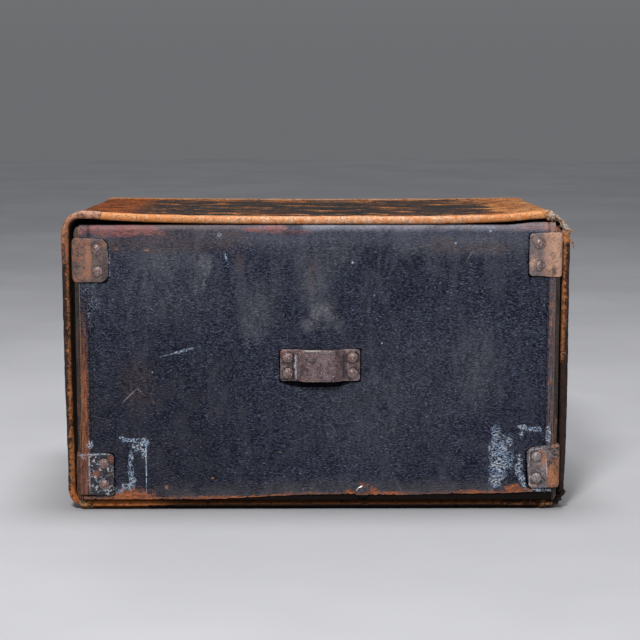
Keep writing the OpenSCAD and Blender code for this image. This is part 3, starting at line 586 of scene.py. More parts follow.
    # Scratches
    hair = f.hairs(26, 140, (0.5, -0.35, 1.2), 0.7, 0.735) * f.noise(5, 3, seed=13).fade(0.46, 0.6)
    f.paint(hair * 0.3, (0.18, 0.19, 0.23))
    f.paint(f.spots(SCRATCHES) * hatch, (0.22, 0.205, 0.205))
    # Painted shade against the brackets and the strap's ends, and a painted shadow under the strap, both
    # also made less shiny
    shaken = f.noise(3.5, 4, 0.75, seed=29).sway(1, 0.25)
    fitting_shade = most(*[f.rounded_box(*edges, 0.7, shaken) for edges in FITTING_SHADE_BOXES],
                 f.spot(1, 132.2, 34, 5.2, 0.1, mid.sway(0.1)))
    f.darken(fitting_shade * 0.95, 0.08)
    put(f.bsdf["Specular IOR Level"], fitting_shade.lerp(0.21, 0.02))
    rough = most(rub, hem, chalk, fitting_shade).lerp(broad.fade(0.3, 0.7, 0.4, 0.5), 0.92)
    grain = (dome * 0.4 + lines * 1.25) * lip_wear_and_sheen.fade(0, 1, 1, 0.4)
    return f.done(rough, grain + fine * 0.06 + chalk * 0.15 + mid * 0.5 + hair * -0.1)


def binding_finish():
    f = Finish("binding_leather")
    x, y, z = f.x, f.y, f.z
    broad = f.noise(32, 3, 0.6, seed=21)
    mid = f.noise(7, 4, 0.7, 0.5, seed=22)
    fine = f.noise(1.4, 4, 0.75, seed=23)
    even = mid.fade(0.3, 0.7)
    f.colour = broad.fade(0.3, 0.7).mix((0.6, 0.205, 0.05), (0.64, 0.265, 0.09))
    f.paint(mid.fade(0.46, 0.7, 0, 0.75), (0.74, 0.43, 0.24))
    f.paint(f.spot(30, 300, 130, 40) * mid.fade(0.38, 0.58) * 0.7, (0.76, 0.46, 0.3))
    f.paint(mid.fade(0.48, 0.26, 0, 0.8), (0.33, 0.09, 0.03))
    f.darken(fine.fade(0.5, 0.3, 0, 0.45), 0.5)
    top = z.fade(268, 284)
    f.paint((1 - top) * 0.75, mid.fade(0.4, 0.6).mix((0.2, 0.062, 0.022), (0.44, 0.165, 0.058)))
    # Share of the black finish that is left: little on the top, most at the base
    sides = x.fade(0, 20).lerp(z.fade(100, 45, 0.525, 0.5), z.fade(185, 110, 0.5, 0.66))
    sides = sides + (abs(x) - 250.4).fade(-1.8, 2, -0.045, 0.055)
    share = top.lerp(sides, f.noise(45, 2, 0.5, seed=26).fade(0.35, 0.65, 0.22, 0.34))
    base = z.fade(30, 12)
    low = x.fade(-190, -120) * x.fade(200, 170) * z.fade(6, 4.2, -0.12, 0.35)
    share = base.lerp(share, x.fade(-190, -120, 0.36, 0.53) + low + mid.sway(0.12, 0.3))
    share = share + y.fade(RIM_Y + 7, RIM_Y + 14, 0, 0.1)
    blots = f.noise(4.6, 6, 0.8, 1.3, (1.2, 1, 1.1), 24) * 0.78 + fine * 0.22
    finish_left = (blots - share).fade(-0.03, 0.05, 1, 0)
    brown = (x.fade(150, 215) * 0.8).mix((0.08, 0.028, 0.01), (0.15, 0.056, 0.022))
    f.paint(base * x.fade(-186, -130) * 0.9, brown)
    f.paint(base * x.fade(-140, -185) * mid.fade(0.3, 0.55) * 0.75, (0.54, 0.165, 0.045))
    f.paint(finish_left, even.mix((0.012, 0.006, 0.005), (0.05, 0.024, 0.017)))
    cracks = f.cells(4.5, EDGES, seed=25, bend=0.5).fade(0, 0.06, 1, 0) * mid.fade(0.42, 0.56)
    pits = f.cells(3.4, seed=27).fade(0.16, 0.24, 1, 0) * broad.fade(0.4, 0.6)
    f.darken(cracks * 0.8, 0.25)
    f.darken(pits * 0.85, 0.2)
    f.darken(y.fade(110, 132) * mid.fade(0.3, 0.7, 1, 0.6), 0.45)
    # Painted shade: near black below z 4.8, on the binding's underside
    f.darken(z.fade(4.8, 3.2), 0.06)
    put(f.bsdf["Specular IOR Level"], base.lerp(0.25, 0.06))
    relief = fine * 0.22 + mid * 0.6 + finish_left * 0.12 + cracks * -0.35 + pits * -0.3
    return f.done(mid.fade(0.3, 0.7, 0.45, 0.7), relief)


def patch_finish():
    f = Finish("patch_leather", specular=0.45)
    mid = f.noise(5, 5, 0.75, 0.6, seed=31)
    fine = f.noise(1.2, 4, 0.75, seed=32)
    streaks = f.noise(3, 4, 0.7, 0.4, (1.4, 1, 2.2), 33)
    f.colour = mid.fade(0.35, 0.62).mix((0.24, 0.095, 0.055), (0.5, 0.25, 0.155))
    f.paint(streaks.fade(0.56, 0.68, 0, 0.8), (0.56, 0.38, 0.32))
    low = f.z.fade(288, 268)
    f.paint(low * 0.85, streaks.fade(0.44, 0.6).mix((0.036, 0.017, 0.013), (0.3, 0.095, 0.036)))
    f.paint((fine * 0.35 + mid * 0.65).fade(0.53, 0.43) * low.lerp(0.6, 1), (0.026, 0.015, 0.014))
    f.paint(f.x.fade(-251.5, -249.5) * low * streaks.fade(0.35, 0.55) * 0.8, (0.42, 0.15, 0.055))
    f.paint(f.x.fade(-238, -250) * f.z.fade(262, 275) * mid.fade(0.4, 0.55) * 0.8, (0.4, 0.14, 0.06))
    return f.done(mid.fade(0.3, 0.7, 0.36, 0.6), fine * 0.22 + streaks * 0.5 + mid * 0.4)


def torn_finish():
    f = Finish("torn_leather", specular=0.25)
    x, z = f.x, f.z
    mid = f.noise(5, 5, 0.75, 1, seed=41)
    fine = f.noise(1, 3, 0.75, seed=42)
    fibres = f.noise(1.6, 4, 0.7, 1.4, (0.6, 1, 3), 43)
    canvas = fibres.fade(0.35, 0.6).mix((0.28, 0.2, 0.15), (0.66, 0.58, 0.5))
    tan = fine.fade(0.3, 0.7).mix((0.38, 0.13, 0.042), (0.66, 0.32, 0.125))
    black = fine.fade(0.4, 0.7).mix((0.01, 0.007, 0.006), (0.045, 0.03, 0.025))
    right = x.fade(0, 20)
    top = z.fade(100, 120)
    outside = (x + z).fade(522, 527) * z.fade(280, 286) * (x + mid.sway(6, 0.3)).fade(230, 238)
    f.colour = mid.fade(0.4, 0.47).mix(top.mix(black, (0.12, 0.05, 0.025)), tan)
    f.paint(top * outside * mid.fade(0.445, 0.52), canvas)
    keep = most(x.fade(246, 238) * mid.fade(0.5, 0.57) * 0.55, mid.fade(0.64, 0.68))
    f.paint(right * (1 - top) * (1 - keep), black)
    torn_end = (1 - right) * (1 - top) * x.fade(-235, -241) * mid.fade(0.42, 0.5)
    f.paint(torn_end * 0.8, (0.5, 0.36, 0.26))
    # Painted shade: darker below z 5, on the underside
    f.darken(z.fade(5, 2.6) * (1 - top), 0.2)
    return f.done(0.85, fine * 0.45 + fibres * 0.6 + mid * 0.9)


def wrap_finish():
    f = Finish("wrap_leather", specular=0.12)
    x, y, z = f.x, f.y, f.z
    broad = f.noise(60, 3, 0.6, stretch=(1.6, 1, 1), seed=51)
    mid = f.noise(13, 5, 0.72, 0.6, (2, 1, 1), 52)
    fine = f.noise(2, 4, 0.7, seed=53)
    on_top = z.fade(284, 292)
    beside = 1 - on_top
    # The level of noise above which the leather is bare: low on the top, and lower along its edges
    drift = mid.sway(26)
    ends = most((x + drift).fade(-178, -200), (x + drift).fade(178, 206))
    near_edges = most(y.fade(96, 132, 0, 0.8), y.fade(-72, -116))
    level = ends.lerp(near_edges.lerp(0.545, 0.47), 0.3)
    across = abs(x).fade(222, 250)
    along = most(y.fade(-96, -122), y.fade(108, 136))
    upward = most(z.fade(44, 6), z.fade(254, 288))
    rims = most(across * along, along * upward, across * upward)
    level = on_top.lerp(rims * broad.fade(0.3, 0.6, -0.05, -0.17) + 0.615, level)
    worn = f.noise(19, 6, 0.75, 0.9, (2.6, 1, 1), 55) * 0.7 + fine * 0.3
    bare = (worn - level).fade(-0.008, 0.02)
    f.colour = broad.fade(0.3, 0.7).mix((0.006, 0.005, 0.006), (0.026, 0.02, 0.018))
    dusty = f.noise(26, 5, 0.75, 0.4, seed=57).fade(0.46, 0.66) * fine.fade(0.3, 0.6, 0.4, 1) * 0.6
    f.paint(dusty * beside, (0.07, 0.06, 0.06))
    f.paint(f.hairs(30, 150, (0.6, -0.4, 1.3), 0.68, 0.72) * beside * 0.5, (0.13, 0.105, 0.095))
    f.paint(bare, mid.fade(0.4, 0.6).mix((0.2, 0.052, 0.012), (0.5, 0.205, 0.066)))
    shifted = x + drift * 0.6
    stained = mid.fade(0.4, 0.56).mix((0.04, 0.009, 0.003), (0.24, 0.056, 0.01))
    f.paint(shifted.fade(-172, -196) * on_top * 0.92, stained)
    rubbed = mid.fade(0.42, 0.56).mix((0.2, 0.08, 0.03), (0.46, 0.21, 0.085))
    f.paint(shifted.fade(188, 212) * on_top * 0.6, rubbed)
    cracks = f.cells(9, EDGES, (0.8, 1.6, 1), 56, 0.5).fade(0, 0.045, 1, 0)
    grain = f.cells(2.6, EDGES, seed=54, bend=0.3)
    f.darken(cracks * 0.85, 0.2)
    f.darken(grain.fade(0.03, 0.14, 0.5, 0), 0.4)
    relief = grain.fade(0, 0.3, 0, 0.25) + bare * -0.3 + cracks * -0.5 + mid * 0.6
    return f.done(bare.lerp(broad.fade(0.3, 0.7, 0.5, 0.65), 0.8), relief)


def tray_leather_finish():
    f = Finish("tray_leather", specular=0.35)
    x, y, z = f.x, f.y, f.z
    mid = f.noise(11, 5, 0.7, 0.4, seed=61)
    fine = f.noise(1.8, 4, 0.7, seed=62)
    f.colour = mid.fade(0.3, 0.7).mix((0.018, 0.014, 0.015), (0.058, 0.042, 0.038))
    f.paint(fine.fade(0.55, 0.8, 0, 0.4), (0.13, 0.095, 0.08))
    # The leather's turned front edges, beside the panel
    front = y.fade(FACE_Y + 3, FACE_Y + 0.4)
    stripe = f.noise(2.2, 4, 0.75, 0.4, (0.7, 1, 10), 64)
    f.darken(front, 0.62)
    f.paint(front * stripe.fade(0.46, 0.62) * 0.7, (0.075, 0.042, 0.032))
    low_left = front * z.fade(210, 90) * x.fade(0, -20)
    f.paint(low_left * stripe.fade(0.5, 0.6) * 0.7, (0.24, 0.08, 0.034))
    low_right = front * z.fade(130, 80) * x.fade(0, 20)
    f.paint(low_right * stripe.fade(0.48, 0.6) * 0.6, (0.3, 0.15, 0.1))
    f.paint(z.fade(288, 290) * mid.fade(0.4, 0.6) * 0.6, (0.26, 0.13, 0.075))
    rubbed = y.fade(FACE_Y + 8, FACE_Y + 3) * z.fade(272, 281) * fine.fade(0.35, 0.6, 0.3, 1)
    f.paint(rubbed * 0.8, x.fade(-5, 5).mix((0.15, 0.095, 0.085), (0.3, 0.115, 0.07)))
    grain = f.cells(2.4, EDGES, seed=63, bend=0.3)
    f.darken(grain.fade(0.02, 0.14, 0.6, 0), 0.4)
    return f.done(mid.fade(0.3, 0.7, 0.48, 0.66), grain.fade(0, 0.3, 0, 0.2) + stripe * 0.5)


def cloth_finish(name, dark, light, pitch, nap, sheen):
    """Woven or felted cloth with a thread spacing of pitch millimetres."""
    f = Finish(name, specular=0.15, sheen=sheen)
    turns = 2 * math.pi / pitch
    weave = ((f.x + f.y * 0.6) * turns).math("SINE") * ((f.z + f.y * 0.8) * turns).math("SINE")
    worn = f.noise(30, 5, 0.7, 0.3, seed=71)
    fuzz = f.noise(0.9, 4, 0.8, seed=72)
    f.colour = (worn * 0.7 + fuzz * 0.4).mix(dark, light)
    f.darken(weave.fade(-0.2, -0.9, 0, 0.5), 0.5)
    f.paint(f.noise(14, 5, 0.75, seed=73).fade(0.54, 0.74, 0, 0.5), tint(light, 1.9))
    f.darken(f.noise(48, 4, 0.65, 0.5, seed=74).fade(0.44, 0.62, 0, 0.6), 0.45)
    f.paint(f.cells(7, seed=75, bend=0.4).fade(0.1, 0.05) * 0.6, tint(light, 1.2, 0.22))
    f.paint(f.z.fade(262, 290) * worn.fade(0.3, 0.6, 0.3, 1) * 0.6, tint(light, 1.5, 0.05))
    return f.done(0.95, weave * (0.06 * (1 - nap)) + fuzz * (0.25 * nap + 0.05))


def wood_finish():
    f = Finish("board", specular=0.12)
    grain = f.noise(2.2, 5, 0.6, 0.3, (26, 9, 1), 81)
    f.colour = grain.fade(0.3, 0.7).mix((0.3, 0.17, 0.085), (0.5, 0.33, 0.18))
    f.paint(f.noise(14, 2, 0.5, 0.5, (12, 5, 1), 82).fade(0.4, 0.7, 0, 0.5), (0.24, 0.12, 0.055))
    f.paint(f.noise(40, 4, 0.6, seed=83).fade(0.55, 0.75, 0, 0.5), (0.13, 0.075, 0.045))
    # Painted shade: the panel's lower edge, where its leather ends short, is painted near black
    f.paint(f.y.fade(FACE_Y + 9, FACE_Y + 4) * f.z.fade(60, 30), (0.006, 0.004, 0.003))
    return f.done(0.75, grain * 0.12)


def iron_finish(corner_name, paint, grey, rust, split, rusty_share, patches, blots, chalk_spots=(),
                edge_highlight_lines=(), blend=1.2, streaky=0, contrast=1):
    """Sheet iron round one corner. split is the distance in from the tray's side where the
    rusty part near the corner meets the darker part, and blend is how softly. Patches are rubbed
    to rust, and blots are dark."""
    side, leg, mid_z = BRACKETS[corner_name]
    f = Finish("iron_" + corner_name, "bracket_iron", metallic=0.15)
    seed = 90 + mid_z * 0.1 + side
    mid = f.noise(4.2, 5, 0.78, 0.8, seed=seed)
    fine = f.noise(1.3, 4, 0.8, seed=seed + 1)
    broad = f.noise(11, 4, 0.7, 0.8, seed=seed + 2)
    f.colour = mid.fade(0.48 - 0.1 / contrast, 0.48 + 0.1 / contrast).mix(paint, grey)
    f.paint(broad.fade(0.4, 0.62, 0, 0.6), tint(grey, 1.35))
    reach = (in_from(side, 0) - f.x) * side + mid.sway(2 * blend)
    share = (broad * 0.5 + mid * 0.5).fade(0.6 - rusty_share * 0.3, 0.66 - rusty_share * 0.3)
    pattern = mid
    if streaky:
        pattern = mid + (f.noise(2, 4, 0.75, 0.4, (0.7, 1, 6), seed + 6) - mid) * streaky
    speckled = pattern.fade(0.49 - 0.13 / contrast, 0.49 + 0.13 / contrast)
    f.paint(reach.fade(split + blend, split - blend) * share,
            speckled.mix(tint(rust, 0.55 / contrast), tint(rust, 1.15)))
    f.paint(broad.fade(0.54, 0.64) * fine.fade(0.4, 0.6) * 0.7, tint(rust, 0.85))
    for *ellipse, strength in patches:
        f.paint(f.spot(*ellipse, 0.5, mid.sway(0.5)) * strength * fine.fade(0.34, 0.56), tint(rust, 1.35))
    for *ellipse, strength in blots:
        f.darken(f.spot(*ellipse, 0.5, mid.sway(0.6)) * strength * fine.fade(0.66, 0.44), 0.18)
    f.paint(fine.fade(0.56, 0.68, 0, 0.55), tint(grey, 2.6))
    f.darken(fine.fade(0.46, 0.32, 0, 0.8), 0.3)
    # Painted shade in a ring round each rivet
    ring = most(*[f.spot(in_from(side, leg - PIN_IN), mid_z + pin, 6.4, 6.4, 0.16) for pin in PINS])
    f.darken(ring * mid.fade(0.34, 0.6, 0.85, 0.4), 0.3)
    # Chalky dabs, and thin pale lines along the edges and the fold painted as highlights
    if chalk_spots:
        crackle = f.noise(3.4, 4, 0.7, 0.5, seed=seed + 4).fade(0.54, 0.57)
        broken = f.noise(2.6, 5, 0.8, 0.8, seed=seed + 5).fade(0.46, 0.54)
        dabs = [f.spot(*ellipse, 0.4, mid.sway(0.6)) * strength for *ellipse, strength in chalk_spots]
        edge_highlights = [f.spot(*ellipse, 0.4, fine.sway(0.5), turn) * broken * 0.85
                   for *ellipse, turn in edge_highlight_lines]
        pale = broad.fade(0.4, 0.6).mix((0.42, 0.5, 0.62), (0.72, 0.72, 0.74))
        f.paint(most(most(*dabs) * crackle, *edge_highlights) * 0.92, pale)
    pits = f.cells(2.2, seed=seed + 3).fade(0.1, 0.4, -0.3, 0)
    return f.done(mid.fade(0.3, 0.7, 0.36, 0.62), mid * 0.8 + fine * 0.3 + pits)


def rivet_finish(name, dark, light, metallic, shade_z):
    """Worn metal; below the height given last it is painted black as shade."""
    f = Finish(name, metallic=metallic)
    mid = f.noise(2.4, 5, 0.75, 0.5, seed=101)
    fine = f.noise(0.9, 3, 0.75, seed=102)
    f.colour = mid.fade(0.36, 0.6).mix(dark, light)
    f.darken(fine.fade(0.46, 0.32, 0, 0.7), 0.35)
    silver = f.x.fade(150, 200) * f.z.fade(150, 100)
    f.paint(silver * mid.fade(0.3, 0.6) * (1 - metallic), (0.42, 0.37, 0.37))
    red = f.noise(4, 4, 0.7, seed=103).fade(0.46, 0.56) * (1 - silver) * f.z.fade(230, 190, 0.25, 0.9)
    f.paint(red * fine.fade(0.34, 0.5) * (1 - metallic), (0.25, 0.095, 0.072))
    # Painted glints
    f.paint(fine.fade(0.555, 0.645, 0, 0.85), (0.8, 0.76, 0.75))
    # Painted shade: black below the given height
    f.darken(f.z.fade(shade_z + 0.5, shade_z - 0.5), 0.02)
    return f.done(mid.fade(0.3, 0.7, 0.2, 0.42), mid * 0.5 + fine * 0.2)


def strap_finish():
    f = Finish("strap_leather")
    x, z = f.x, f.z
    mid = f.noise(7, 5, 0.72, 0.6, seed=111)
    fine = f.noise(1.3, 4, 0.8, seed=112)
    scratch = f.noise(2.2, 4, 0.75, 0.6, (3, 1, 0.7), 113)
    f.colour = mid.fade(0.36, 0.6).mix((0.048, 0.029, 0.035), (0.215, 0.148, 0.165))
    f.darken(f.noise(16, 3, 0.6, 0.4, seed=116).fade(0.52, 0.36, 0, 0.75), 0.4)
    f.paint(f.noise(5, 5, 0.75, seed=114).fade(0.5, 0.62, 0, 0.85), (0.22, 0.105, 0.085))
    f.paint(scratch.fade(0.54, 0.66, 0, 0.75), (0.29, 0.225, 0.235))
    f.darken(f.noise(1.9, 4, 0.8, 0.5, seed=115).fade(0.48, 0.36, 0, 0.7), 0.3)
    f.darken(fine.fade(0.5, 0.34, 0, 0.85), 0.25)
    f.paint(fine.fade(0.6, 0.67, 0, 0.9), (0.66, 0.6, 0.62))
    # Creases beside the rivets, painted dark as shade, and a painted highlight on the left one's edge
    sway = mid.sway(1.2)
    across = x + sway
    for middle, wide, deep in ((-23.4, 1.4, 1), (28.6, 2.4, 0.8)):
        f.darken(across.slab(middle - wide, middle + wide, 0.8) * z.slab(136, 162, 2) * deep, 0.15)
    rubbed = across.slab(-21.3, -19.9, 0.5) * z.slab(137, 160, 2) * fine.fade(0.36, 0.55, 0.2, 1)
    f.paint(rubbed * 0.95, (0.52, 0.5, 0.55))
    # Painted shade in a ring round each rivet
    ring = most(*[f.spot(STRAP_X + dx, STRAP_Z + dz, 6.6, 6.6, 0.16) for dx, dz in STRAP_PINS])
    f.darken(ring * mid.fade(0.34, 0.6, 1, 0.55), 0.22)
    edge = most(z.fade(164.2, 165.6), z.fade(136, 134.6))
    f.paint(edge * mid.fade(0.38, 0.6) * 0.7, (0.33, 0.21, 0.17))
    # A painted highlight on the strap's top edge
    f.paint(f.spot(-5, 166, 8, 0.9) * fine.fade(0.4, 0.6) * 0.9, (0.7, 0.64, 0.6))
    f.darken(most(x.fade(-23, -26), x.fade(31, 35)) * mid.fade(0.6, 0.4) * 0.8, 0.3)
    rust = most(f.spot(-33.6, 163, 1.8, 2.2, 0.5, sway), f.spot(-31, 160.5, 3, 2, 0.6, sway) * 0.5)
    f.paint(rust * fine.fade(0.4, 0.52), (0.25, 0.07, 0.04))
    return f.done(mid.fade(0.3, 0.7, 0.34, 0.55), fine * 0.35 + scratch * 0.6 + mid * 1.2)


def thread_finish():
    f = Finish("thread", specular=0.3)
    twist = ((f.z + f.x * 0.9) * 9).math("SINE")
    worn = f.noise(0.8, 3, 0.7, seed=121).fade(0.3, 0.7)
    f.colour = worn.mix((0.035, 0.028, 0.028), (0.12, 0.095, 0.085))
    f.darken(twist.fade(0.2, -0.8, 0, 0.5), 0.5)
    return f.done(0.8, twist * 0.08)


def floor_finish():
    f = Finish("floor", specular=0.2)
    fine = f.noise(3, 5, 0.7, seed=132)
    f.colour = f.noise(420, 3, 0.6, seed=131).fade(0.3, 0.7).mix((0.4, 0.4, 0.415), (0.45, 0.45, 0.465))
    f.paint(fine.fade(0.6, 0.8, 0, 0.25), (0.4, 0.4, 0.412))
    return f.done(0.8, fine * 0.1)


PANEL = panel_finish()
BINDING = binding_finish()
PATCH = patch_finish()
TORN = torn_finish()
WRAP = wrap_finish()
TRAY_LEATHER = tray_leather_finish()
LINING = cloth_finish("lining_cloth", (0.05, 0.026, 0.018), (0.15, 0.08, 0.052), 0.9, 0.2, 0.1)
BAIZE = cloth_finish("baize", (0.085, 0.013, 0.015), (0.19, 0.032, 0.035), 0.7, 0.9, 0.4)
FELT = cloth_finish("rest_felt", (0.09, 0.014, 0.016), (0.2, 0.035, 0.037), 0.7, 1, 0.5)
WOOD = wood_finish()
IRON = {
    "top_left": iron_finish(
        "top_left", (0.07, 0.046, 0.042), (0.14, 0.098, 0.09), (0.3, 0.128, 0.076), 19, 0.42,
        ((-227, 259, 3, 18, 1), (-228, 242, 4, 5, 0.7), (-214, 271, 6, 3, 0.5)),
        ((-210, 246, 3, 12, 0.8), (-238, 262, 3, 10, 0.5), (-222, 272, 8, 3, 0.5)), blend=3.5),
    "top_right": iron_finish(
        "top_right", (0.08, 0.062, 0.064), (0.165, 0.13, 0.13), (0.57, 0.325, 0.225), 17, 1.5,
        ((218, 252, 4, 5, 0.7), (220, 276, 4, 3, 0.5)), ((237.5, 244, 2.2, 4.5, 1), (230, 243, 3, 3, 0.5)),
        blend=4),
    "bottom_left": iron_finish(
        "bottom_left", (0.009, 0.008, 0.012), (0.026, 0.025, 0.036), (0.22, 0.08, 0.042), 11.2, 1.6,
        ((-223, 38, 4, 4, 1), (-208, 54, 3, 4, 0.9)),
        ((-240.5, 38, 2, 20, 0.9), (-236, 30, 1, 16, 0.6), (-234, 46, 3, 6, 0.4)),
        ((-223.5, 51, 4.5, 6.5, 1), (-222, 28, 8, 8, 0.75), (-208, 22, 7, 5, 0.9), (-212, 41, 8, 5, 0.7),
         (-226, 38, 3, 14, 0.7), (-233, 57, 6, 3, 0.7), (-214, 33, 6, 4, 0.6)),
        ((-229.8, 40, 0.7, 20, 0), (-222, 58.8, 16, 0.8, 0.03)), streaky=0.85, contrast=1.4),
    "bottom_right": iron_finish(
        "bottom_right", (0.016, 0.013, 0.015), (0.175, 0.142, 0.15), (0.38, 0.15, 0.065), 10.4, 0.45,
        ((231, 51, 2.4, 8, 1), (240, 36, 5, 9, 1), (227, 61, 4, 2.5, 0.8), (219, 26.5, 5, 1.5, 0.6)),
        ((219, 56, 6, 6, 0.6), (224, 40, 5, 5, 0.6), (239, 55, 4, 6, 0.7), (243, 44, 2.5, 12, 0.5)),
        ((226, 43, 7, 12, 0.25), (229, 60, 5, 4, 0.5), (215, 28, 4, 4, 0.5), (238, 58, 4, 3, 0.3)),
        ((233.6, 44, 0.6, 13, 0.05), (215.8, 51, 0.5, 9, -0.03), (216.8, 33, 0.5, 7, -0.08),
         (225, 25.4, 10, 0.5, 0), (222, 63.6, 9, 0.5, 0.14)), contrast=1.8),
}
RIVET = rivet_finish("rivet_steel", (0.085, 0.048, 0.044), (0.29, 0.195, 0.185), 0.35, -1)
STUD = rivet_finish("stud_nickel", (0.45, 0.45, 0.47), (0.75, 0.75, 0.78), 1, 17.2)
STRAP = strap_finish()
THREAD = thread_finish()
FLOOR = floor_finish()


# The sleeve

def aged_copy(part, finish):
    """One of the sleeve's CAD solids with more vertices and the sleeve's warp."""
    node = "sleeve_" + part
    bm = bmesh.new()
    bm.from_mesh(nodes[node].data)
    bmesh.ops.remove_doubles(bm, verts=bm.verts, dist=1e-6)
    # Cuts across x, y and z, so that the flat faces can follow the warp
    for axis, low, high, cuts in ((0, -0.252, 0.252, 28), (1, -0.12, 0.14, 14), (2, 0.01, 0.3, 14)):
        normal = Vector([float(k == axis) for k in range(3)])
        for at in np.linspace(low, high, cuts):
            bmesh.ops.bisect_plane(bm, geom=bm.verts[:] + bm.edges[:] + bm.faces[:],
                                   plane_co=normal * at, plane_no=normal)
    places = warp(np.array([v.co for v in bm.verts]) / MM) * MM
    for v, place in zip(bm.verts, places):
        v.co = place
    new_piece(bpy.data.meshes.new("aged_" + part), bm, finish, "sleeve", node, 35)


for finish, parts in (
        (WOOD, ("top_board", "left_board", "right_board", "corner_posts", "back_board")),
        (WRAP, ("back_leather",)), (LINING, ("lining", "back_lining"))):
    for part in parts:
        aged_copy(part, finish)


def wrap_leather():
    """One strip all round the sleeve, from one edge of the seam under the base to the other."""
    half_seam = 0.3
    line = joined(straight("bottom", half_seam, TURN_X, 6), corner(270, 360),
                  straight("right", OUTER_R, TURN_Z, 6), corner(0, 90),
                  straight("top", TURN_X, -TURN_X, 4), corner(90, 180),
                  straight("left", TURN_Z, OUTER_R, 6), corner(180, 270),
                  straight("bottom", -TURN_X, -half_seam, 6))
    ys = np.linspace(RIM_Y + 2, BACK_Y - 1, 52)
    outer, inner = [np.array([[(o[0] - n[0] * inset, y, o[1] - n[1] * inset) for y in ys]
                              for o, i, n in line]) for inset in (1, 2.5)]
    normal = np.array([[(n[0], 0, n[1]) for _ in ys] for o, i, n in line])
    bulge = 0.45 * wave(outer, 55, 1) + 0.25 * wave(outer, 17, 2) + 0.12 * wave(outer, 6, 3)
    bulge = np.clip(bulge, -0.6, 0.6) * smooth((ys - RIM_Y - 14) / 10) * smooth((BACK_Y - 14 - ys) / 10)
    sheet = Build().shell(warp(outer + normal * bulge[..., None]), warp(inner))
    sheet.piece("wrap_leather", WRAP, "sleeve", "sleeve_wrap_leather")


wrap_leather()

NOSE = 3.5                           # depth of the rounded nose of the front binding
LAP = 13                             # how far the bindings lap over the sleeve's outside
HOLLOW = 2.3                         # from the rim's front to the wall's edge inside the fold


def binding_rings(line, seed, rough=0.3, swell=0, ends=(0.6, 0.6)):
    """Closed sections of the front binding, folded over the wall's edge, at each station."""
    rings = []
    along = np.cumsum([0] + [math.dist(a[0], b[0]) for a, b in zip(line, line[1:])])
    for (o, i, n), before, after in zip(line, along, along[-1] - along):
        half = math.dist(o, i) / 2
        d = (o - i) / (2 * half)
        mid = (o + i) / 2
        end = min(before / ends[0], after / ends[1], 1)
        taper = NOSE * (0.8 + 0.2 * math.sqrt(end))
        lap = LAP + 0.9 * lump(o[0] / 6, seed, o[1] / 6)
        # Each point: across the wall, back from the rim, and how far unevenness moves it in both
        section = [(half - 0.55, lap, 0, 0)] + [(half, y, 0.9, 0) for y in (lap - 0.7, 10, 7, NOSE + 1.2)]
        for a in np.radians(np.linspace(0, 180, 15)):
            c, s = math.cos(a), math.sin(a)
            weight = 1 - (0.5 - 0.5 * c) * (1 if abs(n[1]) > 0.5 else 0.5)
            section.append((half * c, NOSE - taper * s ** 0.85, c * weight, -s * weight))
        section += [(-half, y, 0, 0) for y in (NOSE + 1.5, 7, 9.6)]
        section += [(0.3 - half, 10, 0, 0), (0.8 - half, 10, 0, 0), (0.8 - half, HOLLOW, 0, 0),
                    (half - 1, HOLLOW, 0, 0), (half - 1, lap - 0.1, 0, 0)]
        ring = []
        for across, y, out_d, out_y in section:
            base = np.array([mid[0] + d[0] * across, RIM_Y + y, mid[1] + d[1] * across])
            v = Vector(base)
            push = swell * end + 2 * rough * (0.6 * noise.noise(v / 14 + Vector((seed, 0, 0)))
                                              + 0.4 * noise.noise(v / 4.5 + Vector((0, seed, 0))))
            ring.append(base + np.array([d[0] * out_d, out_y, d[1] * out_d]) * push)
        rings.append(ring)
    return warp(rings)


def binding(name, line, finish, node, seed, **more):
    Build().loft(binding_rings(line, seed, **more)).piece(name, finish, "sleeve", node, 50)


PATCH_X, PATCH_Z = CASE_X - 40, CASE_Z - 53     # where the corner patch ends
LEG = 28                             # how far a corner piece reaches along each side
for side, start, end, seed, rough in (
        ("top", -PATCH_X + 0.2, CASE_X - LEG, 3.1, 0.3), ("bottom", CASE_X - LEG, -CASE_X + LEG, 5.2, 0.22),
        ("left", LEG, PATCH_Z, 7.7, 0.34), ("right", CASE_Z - LEG, LEG, 9.4, 0.34)):
    line = straight(side, start, end)
    binding("binding_" + side, line, BINDING, "rim_binding_" + side, seed, rough=rough)
binding("patch_top_left",
        joined(straight("left", PATCH_Z + 0.5, TURN_Z, 2.5), corner(180, 90, 16),
               straight("top", -TURN_X, -PATCH_X - 0.4, 2.5)),
        PATCH, "rim_patch_top_left", 11.9, swell=0.35, ends=(2.5, 2.5))


